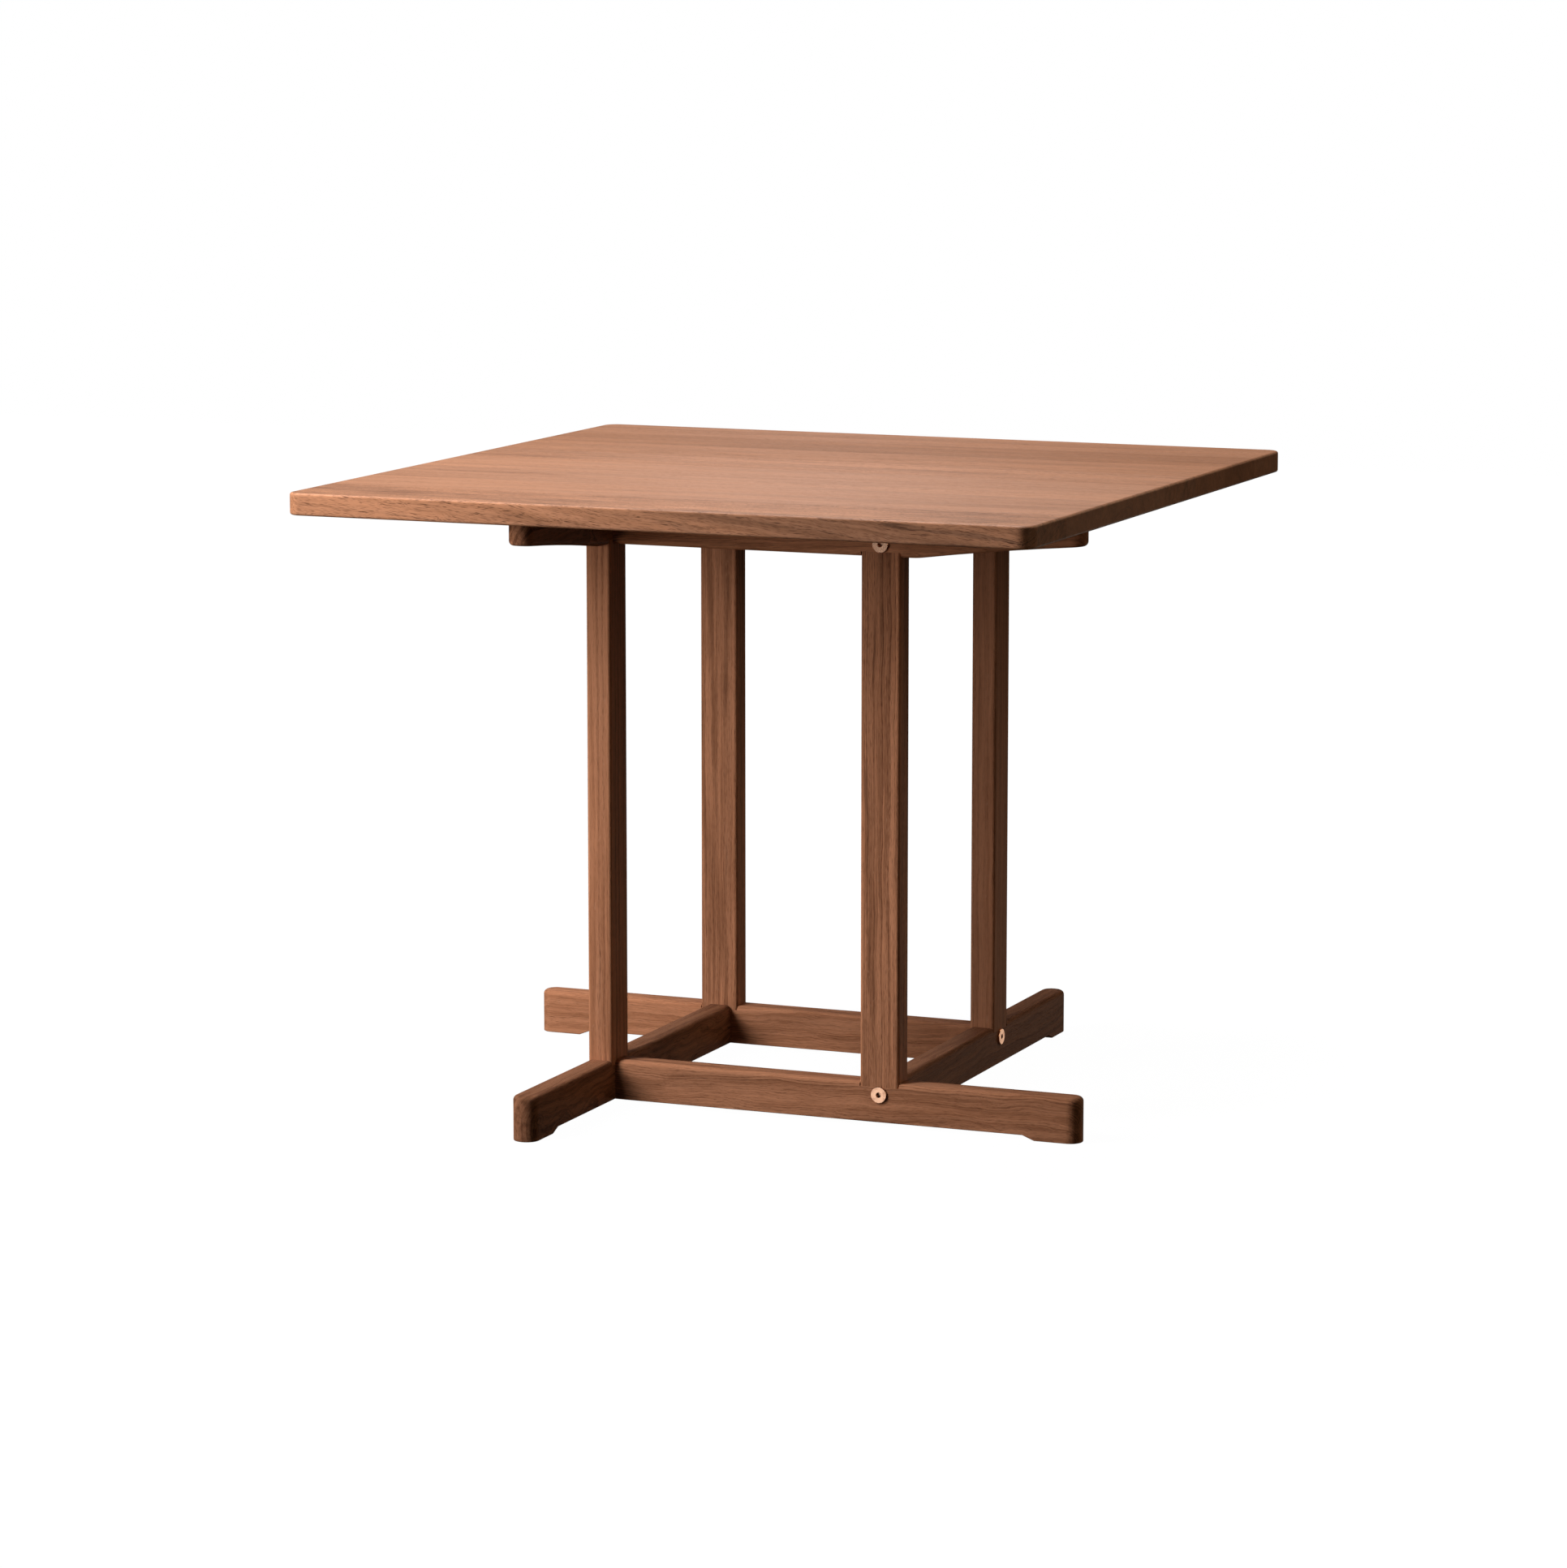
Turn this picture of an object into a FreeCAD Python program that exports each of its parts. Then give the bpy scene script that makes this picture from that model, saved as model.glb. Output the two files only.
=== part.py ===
import FreeCAD, Part
import os
import Sketcher
from FreeCAD import Placement, Rotation, Vector

# Square dining table of solid wood with turned brass bolts.
# Four flat frames, each a foot rail, a leg and a top rail, stand in a pinwheel round the centre. A rail's
# inner end butts on the frame before it, where a bolt draws it tight, and its outer end runs on past its leg.
# The front frame is the pattern: the others are the same frame turned about Z by quarter turns.
# Axes: +X along the front rails to the right, +Y to the back, +Z up, origin on the floor at the centre.

# Driving sizes in millimetres, or a plain count: name, value, meaning
DRIVING_SIZES = [
    ("table_height", 720, "floor to the upper face of the top"),
    ("top_side", 880, "side of the square top"),
    ("top_thickness", 25, "thickness of the top"),
    ("top_corner_radius", 18, "rounding of the top's corners in plan"),
    ("top_edge_radius", 3, "rounding of the top's upper and lower edges"),
    ("stave_count", 8, "boards glued edge to edge to make the top"),
    ("frame_offset", 170.5, "centre of the table to the middle of a rail's thickness"),
    ("rail_thickness", 30, "thickness of the rails, and of the legs across the frame"),
    ("rail_reach", 408.5, "centre of the table to a rail's outer end, along the rail"),
    ("rail_arris_radius", 5.5, "rounding of a rail's edges on the leg's side"),
    ("rail_end_flat", 1, "flat stretch in the middle of a rail's outer end, which is round in plan"),
    ("fine_arris_radius", 1, "rounding of a foot rail's lower edges"),
    ("foot_rail_height", 51.5, "floor to the upper side of a foot rail"),
    ("pad_rise", 5.5, "floor to the relieved underside of a foot rail"),
    ("pad_length", 52.5, "length of the foot pad at a foot rail's outer end"),
    ("pad_ramp_length", 14, "length of the slope from the foot pad up to the relief"),
    ("top_rail_depth", 47, "depth of a top rail between the legs"),
    ("arm_end_depth", 26, "depth of a top rail's arm at its outer end"),
    ("arm_flat_length", 19, "level stretch of a top rail between its leg and the rising arm"),
    ("arm_sagitta", 1.5, "hollow of the rising arm's underside at its middle"),
    ("arm_start_radius", 100, "easing between the level stretch and the rising arm"),
    ("leg_width", 47, "width of a leg along its rails"),
    ("leg_arris_radius", 3.5, "rounding of a leg's long edges"),
    ("tenon_width", 10, "width of each twin tenon along the rail"),
    ("tenon_thickness", 12, "thickness of each twin tenon across the rail"),
    ("tenon_length", 26, "length of each twin tenon"),
    ("tenon_gap", 15, "space between twin tenons, where the bolt passes"),
    ("joint_clearance", 0.1, "room on each side of a tenon, dowel, leg or nut in its socket"),
    ("hole_end_clearance", 1, "room beyond the end of whatever goes into a blind hole"),
    ("bolt_inset", 14, "bolt's axis from the rail edge on the leg's side"),
    ("bolt_head_diameter", 19, "bolt head"),
    ("bolt_head_height", 2.2, "bolt head, proud of the rail"),
    ("bolt_head_bevel", 0.5, "bevel round the bolt head's rim"),
    ("bolt_neck_diameter", 9, "thick neck under the bolt head"),
    ("bolt_neck_length", 8, "thick neck under the bolt head"),
    ("bolt_diameter", 6, "bolt shank"),
    ("bolt_past_nut", 3, "bolt's end beyond the barrel nut"),
    ("bolt_tip_bevel", 0.8, "bevel at the bolt's end"),
    ("bore_room", 0.25, "room all round a bolt in its bore"),
    ("socket_width", 5, "hexagon socket of a bolt, across flats"),
    ("socket_depth", 5, "hexagon socket of a bolt"),
    ("nut_setback", 32, "barrel nut's axis from the rail's butt end"),
    ("nut_diameter", 10, "barrel nut"),
    ("nut_length", 14, "barrel nut"),
    ("nut_thread_room", 0.05, "room all round the bolt in the barrel nut, where the thread would be"),
    ("nut_slot_width", 1.4, "slot that turns the barrel nut in line with the bolt"),
    ("nut_slot_depth", 1.6, "slot that turns the barrel nut in line with the bolt"),
    ("dowel_diameter", 8, "locating dowel of a butt joint"),
    ("dowel_length", 34, "locating dowel of a butt joint"),
    ("dowel_seat", 14, "part of a dowel that sits in the rail that runs past"),
    ("dowel_inset", 31, "dowel's axis from the rail edge on the leg's side"),
    ("dowel_bevel", 1, "bevel at a dowel's ends"),
    ("screw_diameter", 5, "screw that holds the top down"),
    ("screw_grip", 20, "rail left between the washer and the top"),
    ("screw_bite", 15, "screw's length in the top"),
    ("screw_tip_length", 6, "pointed end of the screw"),
    ("screw_room", 1, "room all round the screw in the rail, for the top to swell and shrink"),
    ("screw_head_diameter", 9.5, "screw head"),
    ("screw_head_height", 3.6, "screw head"),
    ("screw_head_bevel", 1.2, "bevel round the screw head's rim"),
    ("recess_width", 3, "hexagon recess of the screw, across flats"),
    ("recess_depth", 2, "hexagon recess of the screw"),
    ("washer_diameter", 15, "washer under the screw head"),
    ("washer_thickness", 1.5, "washer under the screw head"),
    ("counterbore_diameter", 17, "hole in the rail's underside that takes washer and head"),
    ("span_screw_setback", 115, "inner screw of a top rail from the rail's butt end"),
    ("arm_screw_inset", 98, "outer screw of a top rail from the rail's outer end"),
    ("overrun", 10, "cuts run this far past the faces that they open"),
]

# Sizes and places that follow from the driving sizes, in the front frame: name, formula
DERIVED_SIZES = [
    ("top_half", "top_side / 2"),
    ("top_underside", "table_height - top_thickness"),
    ("stave_width", "top_side / stave_count"),
    ("blank_length", "top_side + 2 * overrun"),
    ("blank_height", "top_thickness + 2 * overrun"),
    ("rail_half", "rail_thickness / 2"),
    ("rail_end_radius", "rail_half - rail_end_flat / 2"),
    ("butt_end", "rail_half - frame_offset"),
    ("pad_start", "rail_reach - pad_length"),
    ("ramp_start", "pad_start - pad_ramp_length"),
    ("top_rail_low", "top_underside - top_rail_depth"),
    ("arm_end_low", "top_underside - arm_end_depth"),
    ("arm_start", "frame_offset + leg_width / 2 + arm_flat_length"),
    ("arm_run", "rail_reach - arm_start"),
    ("arm_rise", "arm_end_low - top_rail_low"),
    ("arm_radius", "(arm_run ^ 2 + arm_rise ^ 2) / (8 * arm_sagitta) + arm_sagitta / 2"),
    ("arm_middle", "(arm_start + rail_reach) / 2"),
    ("arm_middle_low", "(top_rail_low + arm_end_low) / 2 + arm_sagitta"),
    ("foot_shoulder", "foot_rail_height - rail_arris_radius"),
    ("top_shoulder", "top_rail_low + rail_arris_radius"),
    ("leg_length", "top_shoulder - foot_shoulder"),
    ("leg_start", "frame_offset - leg_width / 2"),
    ("leg_end", "frame_offset + leg_width / 2"),
    ("trench_start", "leg_start - joint_clearance"),
    ("trench_end", "leg_end + joint_clearance"),
    ("foot_trench_mouth", "foot_rail_height + overrun"),
    ("top_trench_mouth", "top_rail_low - overrun"),
    ("near_tenon_end", "frame_offset - tenon_gap / 2"),
    ("near_tenon_start", "near_tenon_end - tenon_width"),
    ("far_tenon_start", "frame_offset + tenon_gap / 2"),
    ("far_tenon_end", "far_tenon_start + tenon_width"),
    ("tenon_half", "tenon_thickness / 2"),
    ("near_mortise_start", "near_tenon_start - joint_clearance"),
    ("near_mortise_end", "near_tenon_end + joint_clearance"),
    ("far_mortise_start", "far_tenon_start - joint_clearance"),
    ("far_mortise_end", "far_tenon_end + joint_clearance"),
    ("mortise_half", "tenon_half + joint_clearance"),
    ("mortise_depth", "tenon_length + hole_end_clearance"),
    ("foot_bolt_height", "foot_rail_height - bolt_inset"),
    ("top_bolt_height", "top_rail_low + bolt_inset"),
    ("bolt_head_radius", "bolt_head_diameter / 2"),
    ("bolt_face_radius", "bolt_head_radius - bolt_head_bevel"),
    ("bolt_rim_height", "bolt_head_height - bolt_head_bevel"),
    ("bolt_neck_radius", "bolt_neck_diameter / 2"),
    ("bolt_radius", "bolt_diameter / 2"),
    ("bolt_tip_radius", "bolt_radius - bolt_tip_bevel"),
    ("bolt_length", "rail_thickness + nut_setback + nut_diameter / 2 + bolt_past_nut"),
    ("bolt_tip_start", "bolt_length - bolt_tip_bevel"),
    ("bolt_bore_radius", "bolt_radius + bore_room"),
    ("neck_bore_radius", "bolt_neck_radius + bore_room"),
    ("neck_bore_depth", "bolt_neck_length + hole_end_clearance"),
    ("bolt_bore_depth", "bolt_length - rail_thickness + hole_end_clearance"),
    ("socket_half", "socket_width / 2"),
    ("socket_corner", "socket_width / sqrt(3)"),
    ("socket_corner_half", "socket_corner / 2"),
    ("nut_place", "butt_end + nut_setback"),
    ("nut_radius", "nut_diameter / 2"),
    ("nut_half", "nut_length / 2"),
    ("nut_thread_radius", "bolt_radius + nut_thread_room"),
    ("nut_slot_half", "nut_slot_width / 2"),
    ("nut_slot_floor", "nut_half - nut_slot_depth"),
    ("nut_slot_mouth", "nut_half + overrun"),
    ("nut_hole_radius", "nut_radius + joint_clearance"),
    ("foot_nut_depth", "foot_bolt_height + nut_half - pad_rise"),
    ("top_nut_depth", "top_underside - top_bolt_height + nut_half"),
    ("foot_dowel_height", "foot_rail_height - dowel_inset"),
    ("top_dowel_height", "top_rail_low + dowel_inset"),
    ("dowel_radius", "dowel_diameter / 2"),
    ("dowel_hole_radius", "dowel_radius + joint_clearance"),
    ("dowel_seat_depth", "dowel_seat + hole_end_clearance"),
    ("dowel_butt_depth", "dowel_length - dowel_seat + hole_end_clearance"),
    ("span_screw_place", "butt_end + span_screw_setback"),
    ("arm_screw_place", "rail_reach - arm_screw_inset"),
    ("counterbore_floor", "top_underside - screw_grip"),
    ("counterbore_radius", "counterbore_diameter / 2"),
    ("screw_seat", "counterbore_floor - washer_thickness"),
    ("screw_radius", "screw_diameter / 2"),
    ("screw_hole_radius", "screw_radius + screw_room"),
    ("screw_length", "washer_thickness + screw_grip + screw_bite"),
    ("screw_tip_start", "screw_length - screw_tip_length"),
    ("screw_head_radius", "screw_head_diameter / 2"),
    ("screw_face_radius", "screw_head_radius - screw_head_bevel"),
    ("screw_rim_height", "screw_head_height - screw_head_bevel"),
    ("pilot_radius", "screw_radius + joint_clearance"),
    ("pilot_depth", "screw_bite + hole_end_clearance"),
    ("recess_half", "recess_width / 2"),
    ("recess_corner", "recess_width / sqrt(3)"),
    ("recess_corner_half", "recess_corner / 2"),
    ("washer_radius", "washer_diameter / 2"),
    ("washer_hole_radius", "screw_radius + joint_clearance"),
]

QUARTER_TURN = 90
HALF_TURN = 180
FULL_TURN = 360
SAME_PLACE = 0.01  # two places nearer than this, in millimetres, are one
FRAMES = ["front", "right", "back", "left"]  # in order of their quarter turns
LEG_CORNERS = ["front_right", "back_right", "back_left", "front_left"]
OUTWARD_SIGNS = [(0, -1), (1, 0), (0, 1), (-1, 0)]  # from the centre to each frame

doc = FreeCAD.newDocument("square_dining_table")
sheet = doc.addObject("Spreadsheet::Sheet", "Sizes")


def fill_sheet():
    """Write the driving sizes as plain numbers, and the sizes that follow from them as formulas."""
    row = 0
    for name, number, meaning in DRIVING_SIZES:
        row += 1
        sheet.set(f"A{row}", name)
        sheet.set(f"B{row}", str(number))
        sheet.set(f"C{row}", meaning)
        sheet.setAlias(f"B{row}", name)
    for name, formula in DERIVED_SIZES:
        row += 1
        sheet.set(f"A{row}", name)
        sheet.setAlias(f"B{row}", name)
        sheet.set(f"B{row}", f"={formula}")
    doc.recompute()


def value(name):
    """Return a named size as a number; "0" is zero and a leading minus turns its sign."""
    if name == "0":
        return 0.0
    if name.startswith("-"):
        return -value(name[1:])
    return float(getattr(sheet, name))


def bound(name):
    """Return the expression that ties a property to a named size."""
    if name.startswith("-"):
        return f"-Sizes.{name[1:]}"
    return f"Sizes.{name}"


def new_body(label):
    """Start a body under its own label."""
    body = doc.addObject("PartDesign::Body", label)
    body.Label = label
    return body


def new_sketch(body, plane, offset="0"):
    """Start a sketch on one of the body's own planes, moved along that plane's normal."""
    sketch = body.newObject("Sketcher::SketchObject", f"{body.Name}_sketch")
    support = next(item for item in body.Origin.OriginFeatures if item.Role == plane)
    sketch.AttachmentSupport = [(support, "")]
    sketch.MapMode = "FlatFace"
    if offset != "0":
        sketch.setExpression("AttachmentOffset.Base.z", bound(offset))
    return sketch


def tie_point(sketch, curve, end, place):
    """Hold one end, or the centre, of a curve at a named place."""
    for axis_line, kind, name in ((-2, "DistanceX", place[0]), (-1, "DistanceY", place[1])):
        if name == "0":
            sketch.addConstraint(Sketcher.Constraint("PointOnObject", curve, end, axis_line))
        else:
            index = sketch.addConstraint(Sketcher.Constraint(kind, -1, 1, curve, end, value(name)))
            sketch.setExpression(f"Constraints[{index}]", bound(name))


def point(place):
    """Return a named place of a sketch as a vector."""
    return Vector(value(place[0]), value(place[1]), 0)


def draw_outline(sketch, corners, arcs=None):
    """Draw a closed outline through named corners; arcs gives an edge's middle point and radius."""
    arcs = arcs or {}
    curves = []
    for index, corner in enumerate(corners):
        following = corners[(index + 1) % len(corners)]
        if index in arcs:
            middle, _ = arcs[index]
            curve = Part.Arc(point(corner), point(middle), point(following))
        else:
            curve = Part.LineSegment(point(corner), point(following))
        curves.append(sketch.addGeometry(curve, False))
    # An arc runs anticlockwise, so one drawn clockwise has its ends swapped
    ends = []
    for curve, corner in zip(curves, corners):
        starts_here = sketch.getPoint(curve, 1).distanceToPoint(point(corner)) < SAME_PLACE
        ends.append((1, 2) if starts_here else (2, 1))
    for index, corner in enumerate(corners):
        following = (index + 1) % len(corners)
        last, first = ends[index][1], ends[following][0]
        sketch.addConstraint(Sketcher.Constraint("Coincident", curves[index], last, curves[following], first))
        tie_point(sketch, curves[index], ends[index][0], corner)
    for index, (_, radius) in arcs.items():
        tie = sketch.addConstraint(Sketcher.Constraint("Radius", curves[index], value(radius)))
        sketch.setExpression(f"Constraints[{tie}]", bound(radius))


def draw_rectangle(sketch, low, high):
    """Draw a rectangle between two named corners."""
    draw_outline(sketch, [low, (high[0], low[1]), high, (low[0], high[1])])


def draw_circle(sketch, centre, radius):
    """Draw a circle of a named radius at a named place."""
    circle = sketch.addGeometry(Part.Circle(point(centre), Vector(0, 0, 1), value(radius)), False)
    tie_point(sketch, circle, 3, centre)
    index = sketch.addConstraint(Sketcher.Constraint("Radius", circle, value(radius)))
    sketch.setExpression(f"Constraints[{index}]", bound(radius))


def draw_hexagon(sketch, half, corner, corner_half):
    """Draw a hexagon round the origin from half its width across flats and its corner's distance."""
    draw_outline(sketch, [
        (corner, "0"), (corner_half, half), (f"-{corner_half}", half),
        (f"-{corner}", "0"), (f"-{corner_half}", f"-{half}"), (corner_half, f"-{half}"),
    ])


def pad(body, sketch, length, symmetric=False, backwards=False):
    """Raise a sketch to a named length."""
    feature = body.newObject("PartDesign::Pad", f"{body.Name}_pad")
    feature.Profile = sketch
    feature.SideType = "Symmetric" if symmetric else "One side"
    feature.Reversed = backwards
    feature.setExpression("Length", bound(length))
    doc.recompute()


def pocket(body, sketch, depth=None, symmetric=False, backwards=False):
    """Cut a sketch to a named depth, or right through, and make sure that it cuts."""
    volume_before = body.Shape.Volume
    feature = body.newObject("PartDesign::Pocket", f"{body.Name}_pocket")
    feature.Profile = sketch
    feature.SideType = "Symmetric" if symmetric else "One side"
    feature.Reversed = backwards
    if depth is None:
        feature.Type = "ThroughAll"
    else:
        feature.setExpression("Length", bound(depth))
    doc.recompute()
    if body.Shape.Volume >= volume_before:
        raise ValueError(f"{feature.Name} cuts nothing")


def revolve(body, sketch):
    """Turn a sketch a full turn round its upright axis."""
    feature = body.newObject("PartDesign::Revolution", f"{body.Name}_turned")
    feature.Profile = sketch
    feature.ReferenceAxis = (sketch, ["V_Axis"])
    feature.Angle = FULL_TURN
    doc.recompute()


def ease_edges(body, radius, chosen, kind="Fillet"):
    """Round, or bevel, the edges whose middle point is chosen."""
    base = body.Tip
    edges = [f"Edge{i}" for i, edge in enumerate(base.Shape.Edges, 1) if chosen(edge.CenterOfMass)]
    feature = body.newObject(f"PartDesign::{kind}", f"{body.Name}_eased")
    feature.Base = (base, edges)
    feature.setExpression("Radius" if kind == "Fillet" else "Size", bound(radius))
    doc.recompute()


def same(first, second):
    """Tell whether two numbers are one place."""
    return abs(first - second) < SAME_PLACE


def place_frame_piece(piece, turn):
    """Stand a rail or leg in its frame: a number of quarter turns from the front frame."""
    piece.Placement = Placement(Vector(), Rotation(Vector(0, 0, 1), turn * QUARTER_TURN))
    for axis, sign in zip("xy", OUTWARD_SIGNS[turn]):
        if sign:
            piece.setExpression(f"Placement.Base.{axis}", f"{sign} * Sizes.frame_offset")


def frame_placement(turn):
    """Return the placement of a frame's own axes: along the rail, across it and up."""
    across = Vector(0, -value("frame_offset"), 0)
    turned = Placement(Vector(), Rotation(Vector(0, 0, 1), turn * QUARTER_TURN))
    return turned * Placement(across, Rotation())


def cut_leg_joint(body, shoulder, mouth, upwards):
    """Cut the shallow trench that a leg's shoulder sits in, and the blind mortises of its twin tenons."""
    trench = new_sketch(body, "XZ_Plane")
    draw_rectangle(trench, ("trench_start", shoulder), ("trench_end", mouth))
    pocket(body, trench, symmetric=True)
    mortises = new_sketch(body, "XY_Plane", shoulder)
    for side in ("near", "far"):
        low = (f"{side}_mortise_start", "-mortise_half")
        draw_rectangle(mortises, low, (f"{side}_mortise_end", "mortise_half"))
    pocket(body, mortises, "mortise_depth", backwards=upwards)


def cut_butt_joint(body, bolt_height, dowel_height):
    """Bore a rail for the bolt and dowel of the rail that butts on it, and its own butt end likewise."""
    neck_bore = new_sketch(body, "XZ_Plane", "rail_half")
    draw_circle(neck_bore, ("frame_offset", bolt_height), "neck_bore_radius")
    pocket(body, neck_bore, "neck_bore_depth")
    bolt_bore = new_sketch(body, "XZ_Plane")
    draw_circle(bolt_bore, ("frame_offset", bolt_height), "bolt_bore_radius")
    pocket(body, bolt_bore, symmetric=True)
    dowel_hole = new_sketch(body, "XZ_Plane", "-rail_half")
    draw_circle(dowel_hole, ("frame_offset", dowel_height), "dowel_hole_radius")
    pocket(body, dowel_hole, "dowel_seat_depth", backwards=True)
    end_holes = [(bolt_height, "bolt_bore_radius", "bolt_bore_depth")]
    end_holes.append((dowel_height, "dowel_hole_radius", "dowel_butt_depth"))
    for height, radius, depth in end_holes:
        end_hole = new_sketch(body, "YZ_Plane", "butt_end")
        draw_circle(end_hole, ("0", height), radius)
        pocket(body, end_hole, depth, backwards=True)


def cut_nut_hole(body, mouth, depth, upwards):
    """Bore the hole that takes the barrel nut, from the side of the rail that is out of sight."""
    hole = new_sketch(body, "XY_Plane", mouth)
    draw_circle(hole, ("nut_place", "0"), "nut_hole_radius")
    pocket(body, hole, depth, backwards=upwards)


def round_end(body):
    """Round a rail's outer end in plan."""
    reach, half = value("rail_reach"), value("rail_half")
    ease_edges(body, "rail_end_radius", lambda c: same(c.x, reach) and same(abs(c.y), half))


def make_foot_rail(turn):
    """Make a foot rail: profile with foot pad, rounded edges and end, leg joint and butt joints."""
    body = new_body(f"foot_rail_{FRAMES[turn]}")
    profile = new_sketch(body, "XZ_Plane")
    draw_outline(profile, [
        ("butt_end", "pad_rise"), ("ramp_start", "pad_rise"), ("pad_start", "0"),
        ("rail_reach", "0"), ("rail_reach", "foot_rail_height"), ("butt_end", "foot_rail_height"),
    ])
    pad(body, profile, "rail_thickness", symmetric=True)
    round_end(body)
    butt, rise, height = value("butt_end"), value("pad_rise"), value("foot_rail_height")
    ease_edges(body, "rail_arris_radius", lambda c: same(c.z, height) and not same(c.x, butt))
    crosswise = (butt, value("ramp_start"), value("pad_start"))
    ease_edges(body, "fine_arris_radius",
               lambda c: c.z < rise + SAME_PLACE and not any(same(c.x, place) for place in crosswise))
    cut_leg_joint(body, "foot_shoulder", "foot_trench_mouth", upwards=False)
    cut_butt_joint(body, "foot_bolt_height", "foot_dowel_height")
    cut_nut_hole(body, "pad_rise", "foot_nut_depth", upwards=True)
    place_frame_piece(body, turn)
    return body


def make_top_rail(turn):
    """Make a top rail: profile with a rising arm, rounded lower edges and end, joints and screw holes."""
    body = new_body(f"top_rail_{FRAMES[turn]}")
    profile = new_sketch(body, "XZ_Plane")
    arm_edge = {1: (("arm_middle", "arm_middle_low"), "arm_radius")}
    draw_outline(profile, [
        ("butt_end", "top_rail_low"), ("arm_start", "top_rail_low"), ("rail_reach", "arm_end_low"),
        ("rail_reach", "top_underside"), ("butt_end", "top_underside"),
    ], arm_edge)
    pad(body, profile, "rail_thickness", symmetric=True)
    start, low = value("arm_start"), value("top_rail_low")
    ease_edges(body, "arm_start_radius", lambda c: same(c.x, start) and same(c.z, low))
    round_end(body)
    reach, end_low, butt = value("rail_reach"), value("arm_end_low"), value("butt_end")

    def runs_along(c):
        """Tell whether an edge runs along the lower side and round the end, not across the rail."""
        return c.z < end_low + SAME_PLACE and not same(c.x, butt) and (same(c.x, reach) or not same(c.y, 0))

    ease_edges(body, "rail_arris_radius", runs_along)
    cut_leg_joint(body, "top_shoulder", "top_trench_mouth", upwards=True)
    cut_butt_joint(body, "top_bolt_height", "top_dowel_height")
    cut_nut_hole(body, "top_underside", "top_nut_depth", upwards=False)
    for place in ("span_screw_place", "arm_screw_place"):
        hole = new_sketch(body, "XY_Plane", "top_underside")
        draw_circle(hole, (place, "0"), "screw_hole_radius")
        pocket(body, hole)
        counterbore = new_sketch(body, "XY_Plane", "counterbore_floor")
        draw_circle(counterbore, (place, "0"), "counterbore_radius")
        pocket(body, counterbore)
    place_frame_piece(body, turn)
    return body


def make_leg(turn):
    """Make a leg: a post with rounded long edges, and twin tenons at both ends."""
    body = new_body(f"leg_{LEG_CORNERS[turn]}")
    post = new_sketch(body, "XY_Plane", "foot_shoulder")
    draw_rectangle(post, ("leg_start", "-rail_half"), ("leg_end", "rail_half"))
    pad(body, post, "leg_length")
    middle = (value("foot_shoulder") + value("top_shoulder")) / 2
    ease_edges(body, "leg_arris_radius", lambda c: same(c.z, middle))
    for shoulder, downwards in (("foot_shoulder", True), ("top_shoulder", False)):
        tenons = new_sketch(body, "XY_Plane", shoulder)
        for side in ("near", "far"):
            low = (f"{side}_tenon_start", "-tenon_half")
            draw_rectangle(tenons, low, (f"{side}_tenon_end", "tenon_half"))
        pad(body, tenons, "tenon_length", backwards=downwards)
    place_frame_piece(body, turn)
    return body


def screw_places():
    """Return the plan places of all screws that hold the top down, frame by frame."""
    places = []
    for along in ("span_screw_place", "arm_screw_place"):
        places.append((along, "-frame_offset"))
        places.append(("frame_offset", along))
        places.append((f"-{along}", "frame_offset"))
        places.append(("-frame_offset", f"-{along}"))
    return places


def make_top_board():
    """Make the whole top, with rounded corners and edges, drilled from below for the screws."""
    body = new_body("top_board")
    square = new_sketch(body, "XY_Plane", "top_underside")
    draw_rectangle(square, ("-top_half", "-top_half"), ("top_half", "top_half"))
    pad(body, square, "top_thickness")
    half = value("top_half")
    ease_edges(body, "top_corner_radius", lambda c: same(abs(c.x), half) and same(abs(c.y), half))
    levels = (value("top_underside"), value("table_height"))
    ease_edges(body, "top_edge_radius", lambda c: any(same(c.z, level) for level in levels))
    for place in screw_places():
        hole = new_sketch(body, "XY_Plane", "top_underside")
        draw_circle(hole, place, "pilot_radius")
        pocket(body, hole, "pilot_depth", backwards=True)
    return body


def make_stave(board, index):
    """Saw one stave out of the whole top, counted from the front."""
    blank = doc.addObject("Part::Box", f"stave_blank_{index + 1}")
    blank.setExpression("Length", bound("blank_length"))
    blank.setExpression("Width", bound("stave_width"))
    blank.setExpression("Height", bound("blank_height"))
    blank.setExpression("Placement.Base.x", "-Sizes.top_half - Sizes.overrun")
    blank.setExpression("Placement.Base.y", f"{index} * Sizes.stave_width - Sizes.top_half")
    blank.setExpression("Placement.Base.z", "Sizes.top_underside - Sizes.overrun")
    stave = doc.addObject("Part::Common", f"top_stave_{index + 1}")
    stave.Base = board
    stave.Tool = blank
    stave.Label = stave.Name
    doc.recompute()
    return stave


def make_bolt():
    """Make the pattern bolt, upright on its seat: head above, neck and shank below, hexagon socket."""
    body = new_body("bolt_pattern")
    profile = new_sketch(body, "XZ_Plane")
    draw_outline(profile, [
        ("0", "bolt_head_height"), ("bolt_face_radius", "bolt_head_height"),
        ("bolt_head_radius", "bolt_rim_height"), ("bolt_head_radius", "0"), ("bolt_neck_radius", "0"),
        ("bolt_neck_radius", "-bolt_neck_length"), ("bolt_radius", "-bolt_neck_length"),
        ("bolt_radius", "-bolt_tip_start"), ("bolt_tip_radius", "-bolt_length"), ("0", "-bolt_length"),
    ])
    revolve(body, profile)
    socket = new_sketch(body, "XY_Plane", "bolt_head_height")
    draw_hexagon(socket, "socket_half", "socket_corner", "socket_corner_half")
    pocket(body, socket, "socket_depth")
    return body


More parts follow.
